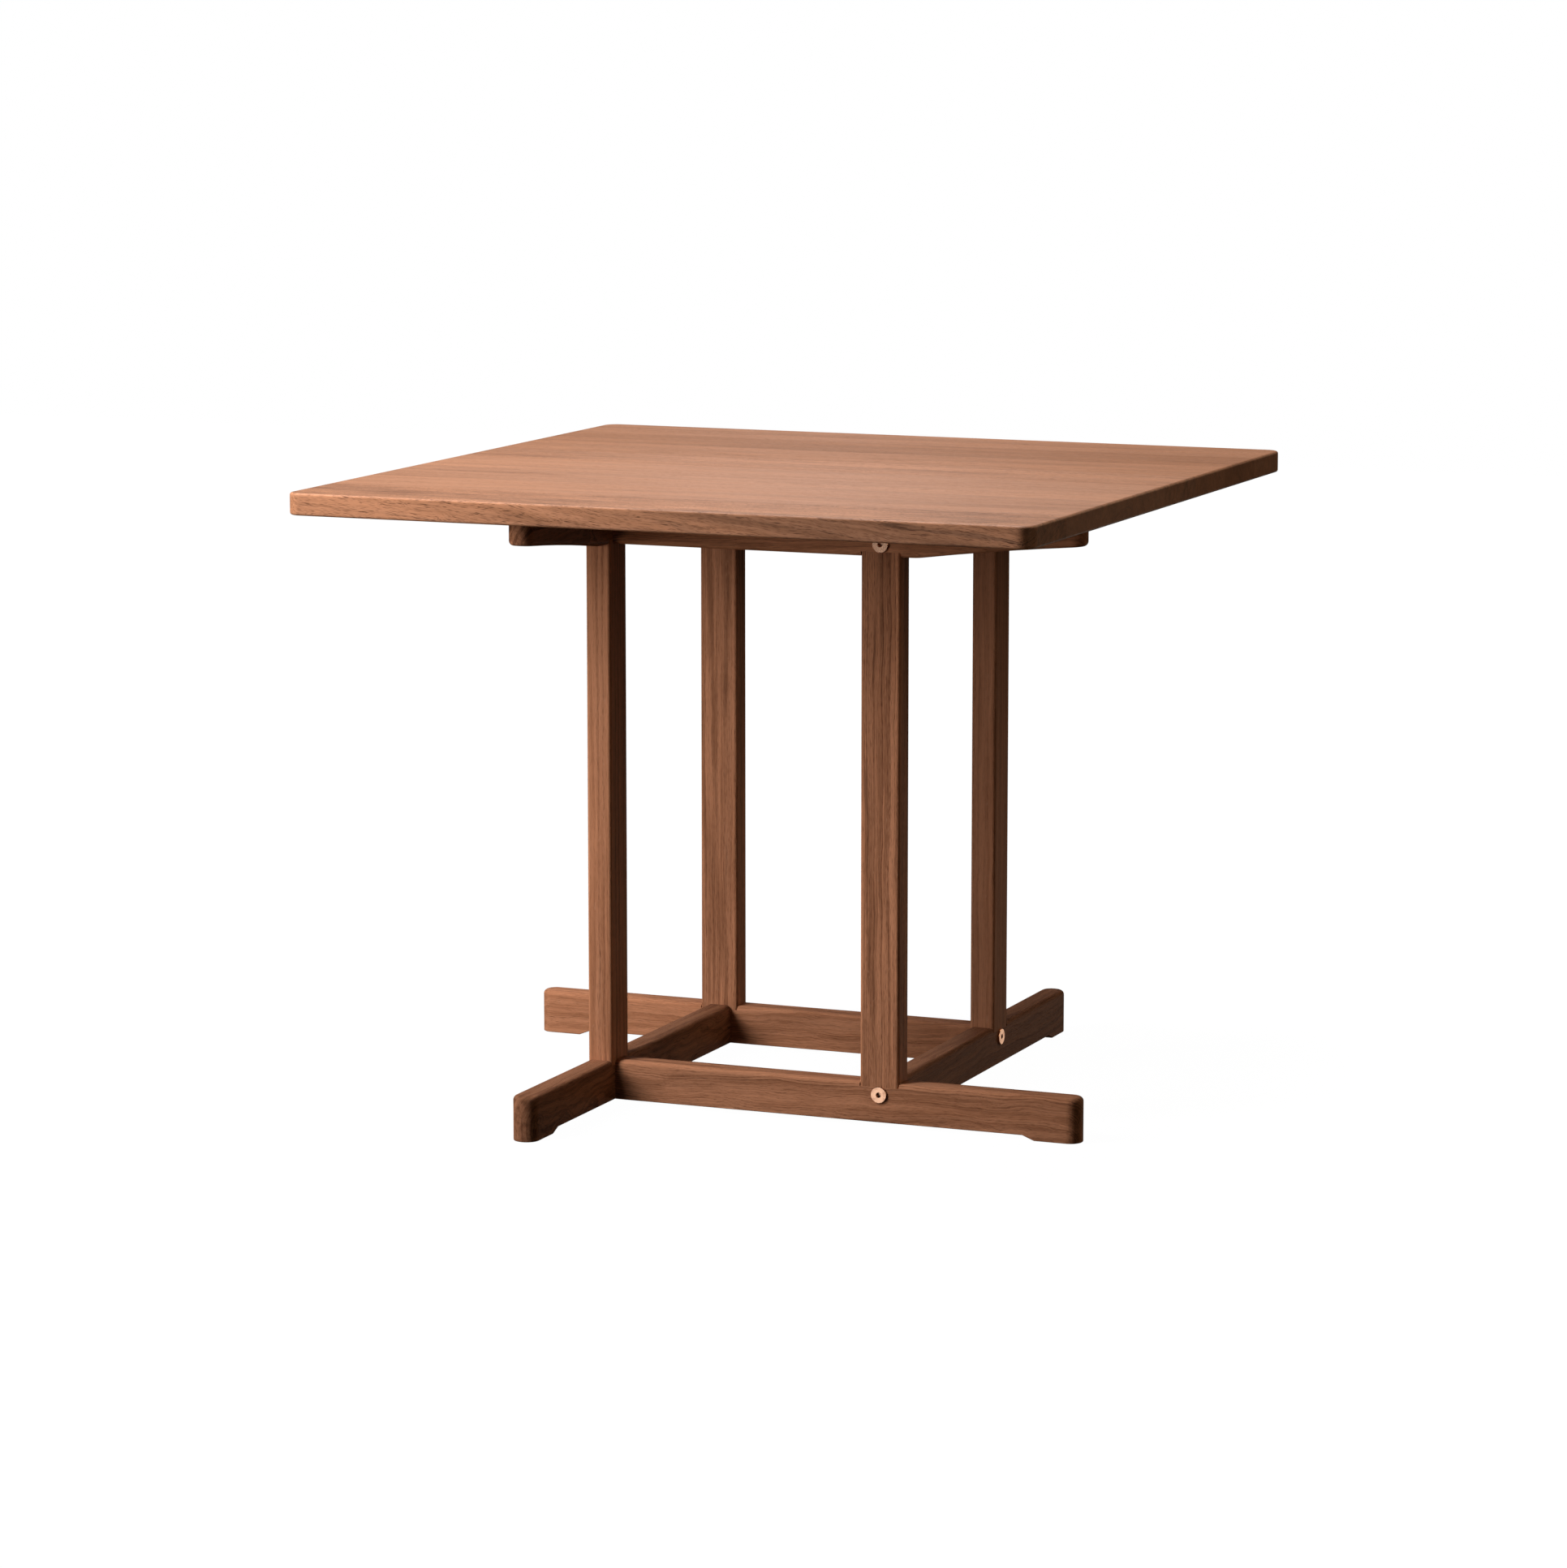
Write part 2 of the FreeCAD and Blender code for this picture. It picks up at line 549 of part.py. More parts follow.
def make_barrel_nut():
    """Make the pattern barrel nut, upright round its middle: cross bore, and a slot in its upper end."""
    body = new_body("barrel_nut_pattern")
    disc = new_sketch(body, "XY_Plane")
    draw_circle(disc, ("0", "0"), "nut_radius")
    pad(body, disc, "nut_length", symmetric=True)
    cross_bore = new_sketch(body, "YZ_Plane")
    draw_circle(cross_bore, ("0", "0"), "nut_thread_radius")
    pocket(body, cross_bore, symmetric=True)
    slot = new_sketch(body, "YZ_Plane")
    draw_rectangle(slot, ("-nut_slot_half", "nut_slot_floor"), ("nut_slot_half", "nut_slot_mouth"))
    pocket(body, slot, symmetric=True)
    return body


def make_dowel():
    """Make the pattern dowel, upright on its end, with bevelled ends."""
    body = new_body("dowel_pattern")
    disc = new_sketch(body, "XY_Plane")
    draw_circle(disc, ("0", "0"), "dowel_radius")
    pad(body, disc, "dowel_length")
    ends = (0, value("dowel_length"))
    ease_edges(body, "dowel_bevel", lambda c: any(same(c.z, end) for end in ends), kind="Chamfer")
    return body


def make_screw():
    """Make the pattern screw, point up on the seat under its head, with a hexagon recess."""
    body = new_body("screw_pattern")
    profile = new_sketch(body, "XZ_Plane")
    draw_outline(profile, [
        ("0", "-screw_head_height"), ("screw_face_radius", "-screw_head_height"),
        ("screw_head_radius", "-screw_rim_height"), ("screw_head_radius", "0"), ("screw_radius", "0"),
        ("screw_radius", "screw_tip_start"), ("0", "screw_length"),
    ])
    revolve(body, profile)
    recess = new_sketch(body, "XY_Plane", "-screw_head_height")
    draw_hexagon(recess, "recess_half", "recess_corner", "recess_corner_half")
    pocket(body, recess, "recess_depth", backwards=True)
    return body


def make_washer():
    """Make the pattern washer, with its lower face on the origin."""
    body = new_body("washer_pattern")
    ring = new_sketch(body, "XY_Plane")
    draw_circle(ring, ("0", "0"), "washer_radius")
    draw_circle(ring, ("0", "0"), "washer_hole_radius")
    pad(body, ring, "washer_thickness")
    return body


def make_group(label, pattern, places):
    """Repeat a pattern piece in every frame at each place of the frame's own axes, as one group."""
    copies = []
    for turn in range(len(FRAMES)):
        for place in places:
            copy = doc.addObject("App::Link", f"{label}_copy")
            copy.LinkedObject = pattern
            copy.Placement = frame_placement(turn) * place
            copies.append(copy)
    group = doc.addObject("Part::Compound", label)
    group.Links = copies
    group.Label = label
    doc.recompute()
    return group


def frame_place(along, across, height, tilt=0):
    """Return a named place in a frame's own axes, tilted about the rail's line."""
    base = Vector(value(along), value(across), value(height))
    return Placement(base, Rotation(Vector(1, 0, 0), tilt))


def make_fasteners():
    """Make the bolts, barrel nuts, dowels, screws and washers, each kind as a group for its level."""
    bolt, nut, dowel = make_bolt(), make_barrel_nut(), make_dowel()
    groups = []
    # The slot of a barrel nut faces the mouth of its hole: down in a foot rail, up in a top rail
    for level, nut_tilt in (("foot", HALF_TURN), ("top", 0)):
        bolt_place = frame_place("frame_offset", "-rail_half", f"{level}_bolt_height", QUARTER_TURN)
        groups.append(make_group(f"{level}_bolts", bolt, [bolt_place]))
        nut_place = frame_place("nut_place", "0", f"{level}_bolt_height", nut_tilt)
        groups.append(make_group(f"{level}_barrel_nuts", nut, [nut_place]))
        dowel_place = frame_place("frame_offset", "rail_half", f"{level}_dowel_height", -QUARTER_TURN)
        seated = Placement(Vector(0, 0, -value("dowel_seat")), Rotation())
        groups.append(make_group(f"{level}_dowels", dowel, [dowel_place * seated]))
    alongs = ("span_screw_place", "arm_screw_place")
    seats = [frame_place(along, "0", "screw_seat") for along in alongs]
    groups.append(make_group("top_screws", make_screw(), seats))
    groups.append(make_group("top_screw_washers", make_washer(), seats))
    return groups


def check_and_write(pieces):
    """Refuse a failed object or a bad shape, then write each piece to its own file."""
    for item in doc.Objects:
        if "Invalid" in item.State or "Error" in item.State:
            raise ValueError(f"{item.Label} failed to build")
    for piece in pieces:
        if piece.Shape.isNull() or not piece.Shape.isValid() or not piece.Shape.Solids:
            raise ValueError(f"{piece.Label} has a bad shape")
    os.makedirs("parts", exist_ok=True)
    for piece in pieces:
        piece.Shape.exportStep(f"parts/{piece.Label}.step")
        print(f"{piece.Label}: {len(piece.Shape.Solids)} solid(s), {piece.Shape.Volume:.1f} mm3")


def main():
    """Build every piece of the table and write it."""
    fill_sheet()
    pieces = []
    for turn in range(len(FRAMES)):
        pieces += [make_foot_rail(turn), make_leg(turn), make_top_rail(turn)]
    board = make_top_board()
    pieces += [make_stave(board, index) for index in range(int(value("stave_count")))]
    pieces += make_fasteners()
    doc.recompute()
    check_and_write(pieces)


main()
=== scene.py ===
"""Looks of a square dining table: oiled oak top and frames, turned brass bolts, zinc screws below.

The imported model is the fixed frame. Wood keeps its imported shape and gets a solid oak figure, read in three
dimensions so that faces, edges and end grain agree. Bolts and screws are turned by Geometry Nodes.
"""

import logging
import math
from dataclasses import dataclass, field, fields
from enum import Enum

import bpy
from bpy.types import Material, Node, NodeSocket, NodeTree
from mathutils import Euler, Matrix, Vector


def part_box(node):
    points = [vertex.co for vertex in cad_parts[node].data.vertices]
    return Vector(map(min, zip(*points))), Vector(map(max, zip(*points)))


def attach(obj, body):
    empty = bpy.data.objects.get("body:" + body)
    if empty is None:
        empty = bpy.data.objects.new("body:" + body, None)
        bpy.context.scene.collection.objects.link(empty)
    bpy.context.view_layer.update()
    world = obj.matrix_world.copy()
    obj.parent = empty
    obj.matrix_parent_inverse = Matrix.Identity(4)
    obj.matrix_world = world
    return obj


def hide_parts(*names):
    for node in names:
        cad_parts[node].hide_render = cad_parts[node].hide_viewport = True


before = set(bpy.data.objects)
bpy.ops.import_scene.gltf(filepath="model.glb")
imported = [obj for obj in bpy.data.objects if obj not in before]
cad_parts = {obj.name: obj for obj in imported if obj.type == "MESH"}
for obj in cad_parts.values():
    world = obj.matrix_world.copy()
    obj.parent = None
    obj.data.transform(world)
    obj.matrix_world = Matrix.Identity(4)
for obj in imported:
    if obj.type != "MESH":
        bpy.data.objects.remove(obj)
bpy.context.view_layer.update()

log = logging.getLogger("dining_table")

MM = 0.001
QUARTER_TURN = math.pi / 2
HEXAGON_CORNER = 2 / math.sqrt(3)  # from a hexagon's middle to its corner, by half its width
SIDES = ("front", "right", "back", "left")
LEG_CORNERS = ("front_right", "back_right", "back_left", "front_left")
TURNED_PLACE = "turned_place"

Colour = tuple[float, float, float]
Waves = tuple[float, float, float]
Feed = NodeSocket | float | tuple[float, ...]

FLOAT, VECTOR, COLOUR = "NodeSocketFloat", "NodeSocketVector", "NodeSocketColor"
MIX_FIRST, MIX_SECOND, MIX_RESULT = 6, 7, 2  # sockets of a Mix node that take and give colours
WHITE: Colour = (1.0, 1.0, 1.0)
WARM: Colour = (1.0, 0.78, 0.54)  # of light that the wood itself has coloured
ZINC_BRIGHT: Colour = (0.60, 0.61, 0.63)
ZINC_DARK: Colour = (0.42, 0.42, 0.43)

GROUPS: dict[str, NodeTree] = {}


@dataclass(frozen=True)
class Pattern:
    """A stretched noise or cell texture, and the step that makes a mask of it."""

    waves: Waves  # per unit along each axis
    detail: float = 2.0  # finer layers of the noise
    roughness: float = 0.5  # how strong the finer layers are
    low: float = 0.0  # where the mask's step begins
    high: float = 1.0  # where it is over


class Graph:
    """A node tree with short ways to add nodes and join them."""

    def __init__(self, tree: NodeTree) -> None:
        """Work on a shader or geometry tree."""
        self.tree = tree

    def add(self, kind: str, feeds: dict[str | int, Feed] | None = None, **settings: object) -> Node:
        """Add a node.

        Args:
            kind: Blender's name of the node type.
            feeds: What goes into its inputs, by name or number.
            **settings: Properties of the node, set before its inputs.

        Returns:
            The new node.
        """
        node = self.tree.nodes.new(kind)
        for name, setting in settings.items():
            setattr(node, name, setting)
        for name, feed in (feeds or {}).items():
            self.feed(node.inputs[name], feed)
        return node

    def out(self, kind: str, feeds: dict[str | int, Feed] | None = None, **settings: object) -> NodeSocket:
        """Return the first output of a new node, which is added in the same way."""
        return self.add(kind, feeds, **settings).outputs[0]

    def feed(self, socket: NodeSocket, feed: Feed) -> None:
        """Link a socket, or set its number.

        Args:
            socket: The input.
            feed: An output to link, or a value to set.
        """
        if isinstance(feed, NodeSocket):
            self.tree.links.new(feed, socket)
        else:
            socket.default_value = feed

    def place(self, name: str, feeds: dict[str, Feed]) -> Node:
        """Return the node of a shader group that is put in with its own feeds."""
        return self.add("ShaderNodeGroup", feeds, node_tree=GROUPS[name])

    def math(self, operation: str, *feeds: Feed, clamp: bool = False) -> NodeSocket:
        """Return the socket of a sum of numbers, which a clamp holds between 0 and 1."""
        numbered = dict(enumerate(feeds))
        return self.out("ShaderNodeMath", numbered, operation=operation, use_clamp=clamp)

    def vector(self, operation: str, *feeds: Feed) -> NodeSocket:
        """Return the socket of a sum of vectors."""
        return self.out("ShaderNodeVectorMath", dict(enumerate(feeds)), operation=operation)

    def scale(self, place: Feed, share: Feed) -> NodeSocket:
        """Return a vector's socket multiplied by a number."""
        return self.out("ShaderNodeVectorMath", {0: place, "Scale": share}, operation="SCALE")

    def combine(self, x: Feed, y: Feed, z: Feed) -> NodeSocket:
        """Return a vector's socket made of three numbers."""
        return self.out("ShaderNodeCombineXYZ", {0: x, 1: y, 2: z})

    def separate(self, place: Feed) -> list[NodeSocket]:
        """Return the sockets of a vector's three numbers."""
        return list(self.add("ShaderNodeSeparateXYZ", {0: place}).outputs)

    def radius(self, across: Feed, up: Feed) -> NodeSocket:
        """Return the distance from an axis, by two numbers across it."""
        squares = [self.math("POWER", number, 2.0) for number in (across, up)]
        return self.math("SQRT", self.math("ADD", *squares))

    def step(self, value: Feed, low: float, high: float, start: float = 0.0,
             end: float = 1.0) -> NodeSocket:
        """Return the socket of a smooth step, which gives start below low and end above high."""
        feeds = {"Value": value, "From Min": low, "From Max": high, "To Min": start, "To Max": end}
        return self.out("ShaderNodeMapRange", feeds, interpolation_type="SMOOTHSTEP")

    def noise(self, place: Feed, pattern: Pattern) -> Node:
        """Return the node of a noise that is stretched along the axes."""
        stretched = self.vector("MULTIPLY", place, pattern.waves)
        return self.add("ShaderNodeTexNoise", {
            "Vector": stretched, "Scale": 1.0, "Detail": pattern.detail, "Roughness": pattern.roughness})

    def mask(self, place: Feed, pattern: Pattern) -> NodeSocket:
        """Return the socket of a noise that a step has made a mask."""
        return self.step(self.noise(place, pattern).outputs[0], pattern.low, pattern.high)

    def mix(self, share: Feed, first: Feed, second: Feed, blend: str = "MIX") -> NodeSocket:
        """Add a mix of two colours.

        Args:
            share: How much of the second colour shows.
            first: The first colour.
            second: The second colour.
            blend: How they are combined.

        Returns:
            The mixed colour's socket.
        """
        feeds = {0: share, MIX_FIRST: first, MIX_SECOND: second}
        node = self.add("ShaderNodeMix", feeds, data_type="RGBA", blend_type=blend, clamp_factor=True)
        return node.outputs[MIX_RESULT]


def opaque(colour: Colour) -> tuple[float, float, float, float]:
    """Return a colour with full alpha, as colour sockets take it."""
    return (*colour, 1.0)


def open_group(name: str, kind: str, inputs: dict[str, str],
               outputs: dict[str, str]) -> tuple[Graph, dict, dict]:
    """Start a node group with named sockets.

    Args:
        name: The group's name.
        kind: The tree type.
        inputs: Socket type of each input, by name.
        outputs: Socket type of each output, by name.

    Returns:
        The graph, the inner sockets of the inputs and the inner sockets of the outputs, by name.
    """
    tree = bpy.data.node_groups.new(name, kind)
    GROUPS[name] = tree
    for label, socket_type in inputs.items():
        tree.interface.new_socket(label, in_out="INPUT", socket_type=socket_type)
    for label, socket_type in outputs.items():
        tree.interface.new_socket(label, in_out="OUTPUT", socket_type=socket_type)
    graph = Graph(tree)
    entry = graph.add("NodeGroupInput")
    leaving = graph.add("NodeGroupOutput")
    given = {label: entry.outputs[label] for label in inputs}
    wanted = {label: leaving.inputs[label] for label in outputs}
    return graph, given, wanted


# What the figure of a board is made of
FIGURE_MASKS = ("Early", "Pore", "Ray", "Fibre", "Streak", "Band", "Mineral")


@dataclass(frozen=True)
class OakFigure:
    """The figure of solid oak, with waves per millimetre along the fibres, across them and up."""

    seed_stride: float = 1000.0  # how far apart in the log two seeds lie
    wander: Pattern = Pattern((0.009, 0.02, 0.02))
    ripple: Pattern = Pattern((0.035, 0.11, 0.11))
    ripple_share: float = 0.16  # of the wander's depth
    drift_waves: float = 0.05  # of the rings' width, per millimetre outwards
    drift: float = 4.0  # in rings
    ring_rise: tuple[float, float] = (0.0, 0.12)  # where in a year the porous part starts
    ring_fall: tuple[float, float] = (0.14, 0.8)  # where it fades
    weakest_ring: float = 0.25
    pores: tuple[Pattern, ...] = (
        Pattern((0.085, 1.5, 1.5), low=0.16, high=0.42), Pattern((0.045, 0.62, 0.62), low=0.10, high=0.34))
    sparse_pores: float = 0.3  # how strong pores are in the dense part of a ring
    ray_radius: float = 80.0  # at which the rays have their given waves, in millimetres
    rays: Pattern = Pattern((0.11, 0.09, 1.1), detail=1.0, low=0.66, high=0.78)
    fibres: Pattern = Pattern((0.012, 0.9, 0.9), detail=3.0, roughness=0.6)
    streaks: Pattern = Pattern((0.004, 0.15, 0.15), roughness=0.55, low=0.3, high=0.7)
    bands: Pattern = Pattern((0.0022, 0.036, 0.036), low=0.25, high=0.75)
    minerals: Pattern = Pattern((0.003, 0.085, 0.085), detail=3.0, roughness=0.6, low=0.58, high=0.76)

    def build(self) -> None:
        """Build the group, which reads millimetres from the pith with X along the fibres."""
        graph, given, wanted = open_group(
            "oak_figure", "ShaderNodeTree",
            {"Place": VECTOR, "Seed": FLOAT, "Ring Width": FLOAT, "Waviness": FLOAT},
            dict.fromkeys(FIGURE_MASKS, FLOAT))
        seed_shift = graph.combine(graph.math("MULTIPLY", given["Seed"], self.seed_stride), 0.0, 0.0)
        own = graph.vector("ADD", given["Place"], seed_shift)
        # Slow wander and small ripple of the rings
        ripple_depth = graph.math("MULTIPLY", given["Waviness"], self.ripple_share)
        bent = own
        for pattern, depth in ((self.wander, given["Waviness"]), (self.ripple, ripple_depth)):
            swing = graph.vector("SUBTRACT", graph.noise(own, pattern).outputs["Color"], (0.5, 0.5, 0.5))
            bent = graph.vector("ADD", bent, graph.scale(swing, depth))
        across, up = graph.separate(graph.vector("SUBTRACT", bent, seed_shift))[1:]
        along = graph.separate(bent)[0]
        radius = graph.radius(across, up)
        # Rings of uneven width: a sharp porous start that fades into dense wood
        years = graph.add("ShaderNodeTexNoise", noise_dimensions="1D")
        outwards = graph.math("MULTIPLY", radius, self.drift_waves)
        graph.feed(years.inputs["W"], graph.math("ADD", outwards, given["Seed"]))
        uneven = graph.math("MULTIPLY", years.outputs[0], self.drift)
        phase = graph.math("ADD", graph.math("DIVIDE", radius, given["Ring Width"]), uneven)
        age = graph.math("FRACT", phase)
        year = graph.add("ShaderNodeTexWhiteNoise", noise_dimensions="1D")
        graph.feed(year.inputs["W"], graph.math("ADD", graph.math("FLOOR", phase), given["Seed"]))
        rise = graph.step(age, *self.ring_rise)
        fall = graph.step(age, *self.ring_fall, 1.0, 0.0)
        strength = graph.math("MULTIPLY_ADD", year.outputs[0], 1.0 - self.weakest_ring, self.weakest_ring)
        early = graph.math("MULTIPLY", graph.math("MULTIPLY", rise, fall), strength)
        graph.feed(wanted["Early"], early)
        # Pores: long thin cells, thick in the porous part of a ring and sparse in the rest
        pores = []
        for pattern in self.pores:
            cells = graph.add("ShaderNodeTexVoronoi", {"Scale": 1.0})
            graph.feed(cells.inputs["Vector"], graph.vector("MULTIPLY", bent, pattern.waves))
            pores.append(graph.step(cells.outputs["Distance"], pattern.low, pattern.high, 1.0, 0.0))
        porous = graph.math("MULTIPLY_ADD", early, 1.0 - self.sparse_pores, self.sparse_pores)
        graph.feed(wanted["Pore"], graph.math("MULTIPLY", graph.math("MAXIMUM", *pores), porous))
        # Rays: thin ribbons that run outwards from the pith
        girth = graph.math("MULTIPLY", graph.math("ARCTAN2", across, up), self.ray_radius)
        graph.feed(wanted["Ray"], graph.mask(graph.combine(along, radius, girth), self.rays))
        # Streaks of three widths, and a few dark mineral streaks
        graph.feed(wanted["Fibre"], graph.noise(bent, self.fibres).outputs[0])
        for name, pattern in (("Streak", self.streaks), ("Band", self.bands), ("Mineral", self.minerals)):
            graph.feed(wanted[name], graph.mask(bent, pattern))


@dataclass(frozen=True)
class EndGrain:
    """The mask of end grain, where cut fibres drink more oil."""

    full: float = 0.15  # share of the ends' rounding over which the mask is full

    def build(self) -> None:
        """Build the group, whose mask is 1 on a board's ends and fades over the depth of their rounding."""
        graph, given, wanted = open_group(
            "end_grain", "ShaderNodeTree", {"Place": VECTOR, "Half Length": FLOAT, "Depth": FLOAT},
            {"End": FLOAT})
        along = graph.separate(given["Place"])[0]
        inward = graph.math("SUBTRACT", given["Half Length"], graph.math("ABSOLUTE", along))
        share = graph.math("DIVIDE", inward, given["Depth"])
        graph.feed(wanted["End"], graph.step(share, self.full, 1.0, 1.0, 0.0))


@dataclass(frozen=True)
class OiledColour:
    """The colour, roughness and height that oiled wood takes from its masks."""

    end_ring_gain: float = 0.9  # how much stronger rings are where they are cut across
    streak_greying: float = 0.3
    ray_depth: float = 0.35
    fibre_dulling: float = 0.16
    pore_dulling: float = 0.18
    wear_polish: float = 0.08
    pore_sink: float = 0.7
    ring_sink: float = 0.2
    fibre_lift: float = 0.5

    def build(self) -> None:
        """Build the group, which mixes the colours by the masks of figure, end grain, and rubbed edges that
        also carry a painted highlight.
        """
        colours = [f"{name} Colour" for name in ("Dense", "Porous", "Pore", "Ray", "Worn")]
        depths = [f"{name} Depth" for name in (
            "Fibre", "Streak", "Band", "Mineral", "Ring", "Pore", "End", "Wear")]
        graph, given, wanted = open_group(
            "oiled_colour", "ShaderNodeTree",
            dict.fromkeys((*FIGURE_MASKS, "End", "Wear"), FLOAT) | dict.fromkeys(colours, COLOUR)
            | dict.fromkeys((*depths, "Base Roughness"), FLOAT),
            {"Colour": COLOUR, "Roughness": FLOAT, "Height": FLOAT})

        def share(mask: str, depth: Feed) -> NodeSocket:
            """Return how much a mask counts."""
            return graph.math("MULTIPLY", given[mask], depth)

        cut_across = graph.math("MULTIPLY_ADD", given["End"], self.end_ring_gain, 1.0)
        ring = graph.math("MULTIPLY", share("Early", given["Ring Depth"]), cut_across)
        ringed = graph.mix(ring, given["Dense Colour"], given["Porous Colour"])
        tone = 1.0
        for name in ("Fibre", "Streak", "Band"):
            swing = graph.math("SUBTRACT", given[name], 0.5)
            tone = graph.math("MULTIPLY_ADD", swing, given[f"{name} Depth"], tone)
        for name in ("Mineral", "End"):
            left = graph.math("SUBTRACT", 1.0, share(name, given[f"{name} Depth"]))
            tone = graph.math("MULTIPLY", tone, left)
        colour = graph.mix(1.0, ringed, graph.combine(tone, tone, tone), "MULTIPLY")
        # The last of these mixes lightens edges: partly rubbed wood, partly a painted highlight where the
        # rounded edges catch the light
        for name, depth, stain in (
                ("Streak", self.streak_greying, "Ray Colour"), ("Ray", self.ray_depth, "Ray Colour"),
                ("Pore", given["Pore Depth"], "Pore Colour"), ("Wear", given["Wear Depth"], "Worn Colour")):
            colour = graph.mix(share(name, depth), colour, given[stain])
        graph.feed(wanted["Colour"], colour)
        dull = graph.math("MULTIPLY_ADD", given["Fibre"], self.fibre_dulling, given["Base Roughness"])
        pitted = graph.math("MULTIPLY_ADD", given["Pore"], self.pore_dulling, dull)
        graph.feed(wanted["Roughness"], graph.math("MULTIPLY_ADD", given["Wear"], -self.wear_polish, pitted))
        sunk = graph.math("MULTIPLY_ADD", given["Pore"], -self.pore_sink, share("Early", -self.ring_sink))
        graph.feed(wanted["Height"], graph.math("MULTIPLY_ADD", given["Fibre"], self.fibre_lift, sunk))


@dataclass(frozen=True)
class EdgeWearAndHighlight:
    """The mask of rubbed edges of a piece's box, which also paints a highlight along them."""

    patches: Pattern = Pattern((45.0, 45.0, 45.0), detail=3.0, low=0.35, high=0.65)  # waves per metre

    def build(self) -> None:
        """Build the group, whose mask is strong where two faces meet and broken up along the edge."""
        graph, given, wanted = open_group(
            "edge_wear", "ShaderNodeTree",
            {"Place": VECTOR, "Centre": VECTOR, "Half Size": VECTOR, "Width": FLOAT}, {"Wear": FLOAT})
        inward = graph.vector("ABSOLUTE", graph.vector("SUBTRACT", given["Place"], given["Centre"]))
        depth_x, depth_y, depth_z = graph.separate(graph.vector("SUBTRACT", given["Half Size"], inward))
        lower = graph.math("MINIMUM", depth_x, depth_y)
        upper = graph.math("MAXIMUM", depth_x, depth_y)
        second = graph.math("MAXIMUM", lower, graph.math("MINIMUM", upper, depth_z))
        near = graph.math("SUBTRACT", 1.0, graph.math("DIVIDE", second, given["Width"]), clamp=True)
        broken = graph.mask(given["Place"], self.patches)
        # Strongest on the edges, both as rubbing and as a painted highlight of the rounded edges
        graph.feed(wanted["Wear"], graph.math("MULTIPLY", graph.math("POWER", near, 2.0), broken))


@dataclass(frozen=True)
class TurnedMarks:
    """The marks on turned metal: fine rings round its axis and stains."""

    ring_detail: float = 2.0
    stains: Pattern = Pattern((160.0, 160.0, 160.0), 4.0, 0.6, 0.42, 0.78)  # waves per metre

    def build(self) -> None:
        """Build the group, which gives the rings and the stains as masks."""
        graph, given, wanted = open_group(
            "turned_marks", "ShaderNodeTree", {"Turned Place": VECTOR, "Place": VECTOR, "Ring Pitch": FLOAT},
            {"Ring": FLOAT, "Stain": FLOAT})
        across, up, along = graph.separate(given["Turned Place"])
        outwards = graph.math("DIVIDE", graph.radius(across, up), given["Ring Pitch"])
        down = graph.math("DIVIDE", along, given["Ring Pitch"])
        feeds = {"Vector": graph.combine(outwards, down, 0.0), "Scale": 1.0, "Detail": self.ring_detail}
        rings = graph.out("ShaderNodeTexNoise", feeds, noise_dimensions="2D")
        graph.feed(wanted["Ring"], rings)
        graph.feed(wanted["Stain"], graph.mask(given["Place"], self.stains))


def open_material(name: str) -> tuple[Material, Graph, Node]:
    """Start a material.

    Args:
        name: The material's name.

    Returns:
        The material, its graph and its Principled shader, already joined to the output.
    """
    material = bpy.data.materials.new(name)
    material.use_nodes = True
    material.node_tree.nodes.clear()
    graph = Graph(material.node_tree)
    shader = graph.add("ShaderNodeBsdfPrincipled")
    graph.add("ShaderNodeOutputMaterial", {"Surface": shader.outputs[0]})
    return material, graph, shader


class GrainAxis(Enum):
    """Which way a board's fibres run: the turn that brings them to X."""

    LEFT_TO_RIGHT = (0.0, 0.0, 0.0)
    FRONT_TO_BACK = (0.0, 0.0, -QUARTER_TURN)
    UPRIGHT = (0.0, QUARTER_TURN, 0.0)


@dataclass(frozen=True)
class Board:
    """How one piece was sawn from its log, in millimetres."""

    node: str
    grain: GrainAxis
    pith: tuple[float, float]  # from the board's middle to the log's pith across the fibres
    seed: float
    tone: float = 1.0  # how light this board is beside the others: its own tone together with painted light and shade fitted to how the light falls on it
    lean: float = 0.0  # slope of the fibres to the board's line, sideways, in radians
    slope: float = 0.0  # the same, upwards
    ring_width: float = 3.6
    waviness: float = 9.0
    end_depth: float = 4.0  # how far the rounding of its ends goes in
    figure: float = 1.0  # how strong its rings, pores and streaks are
    sheen: float = 1.0  # how much its oil shines beside the others


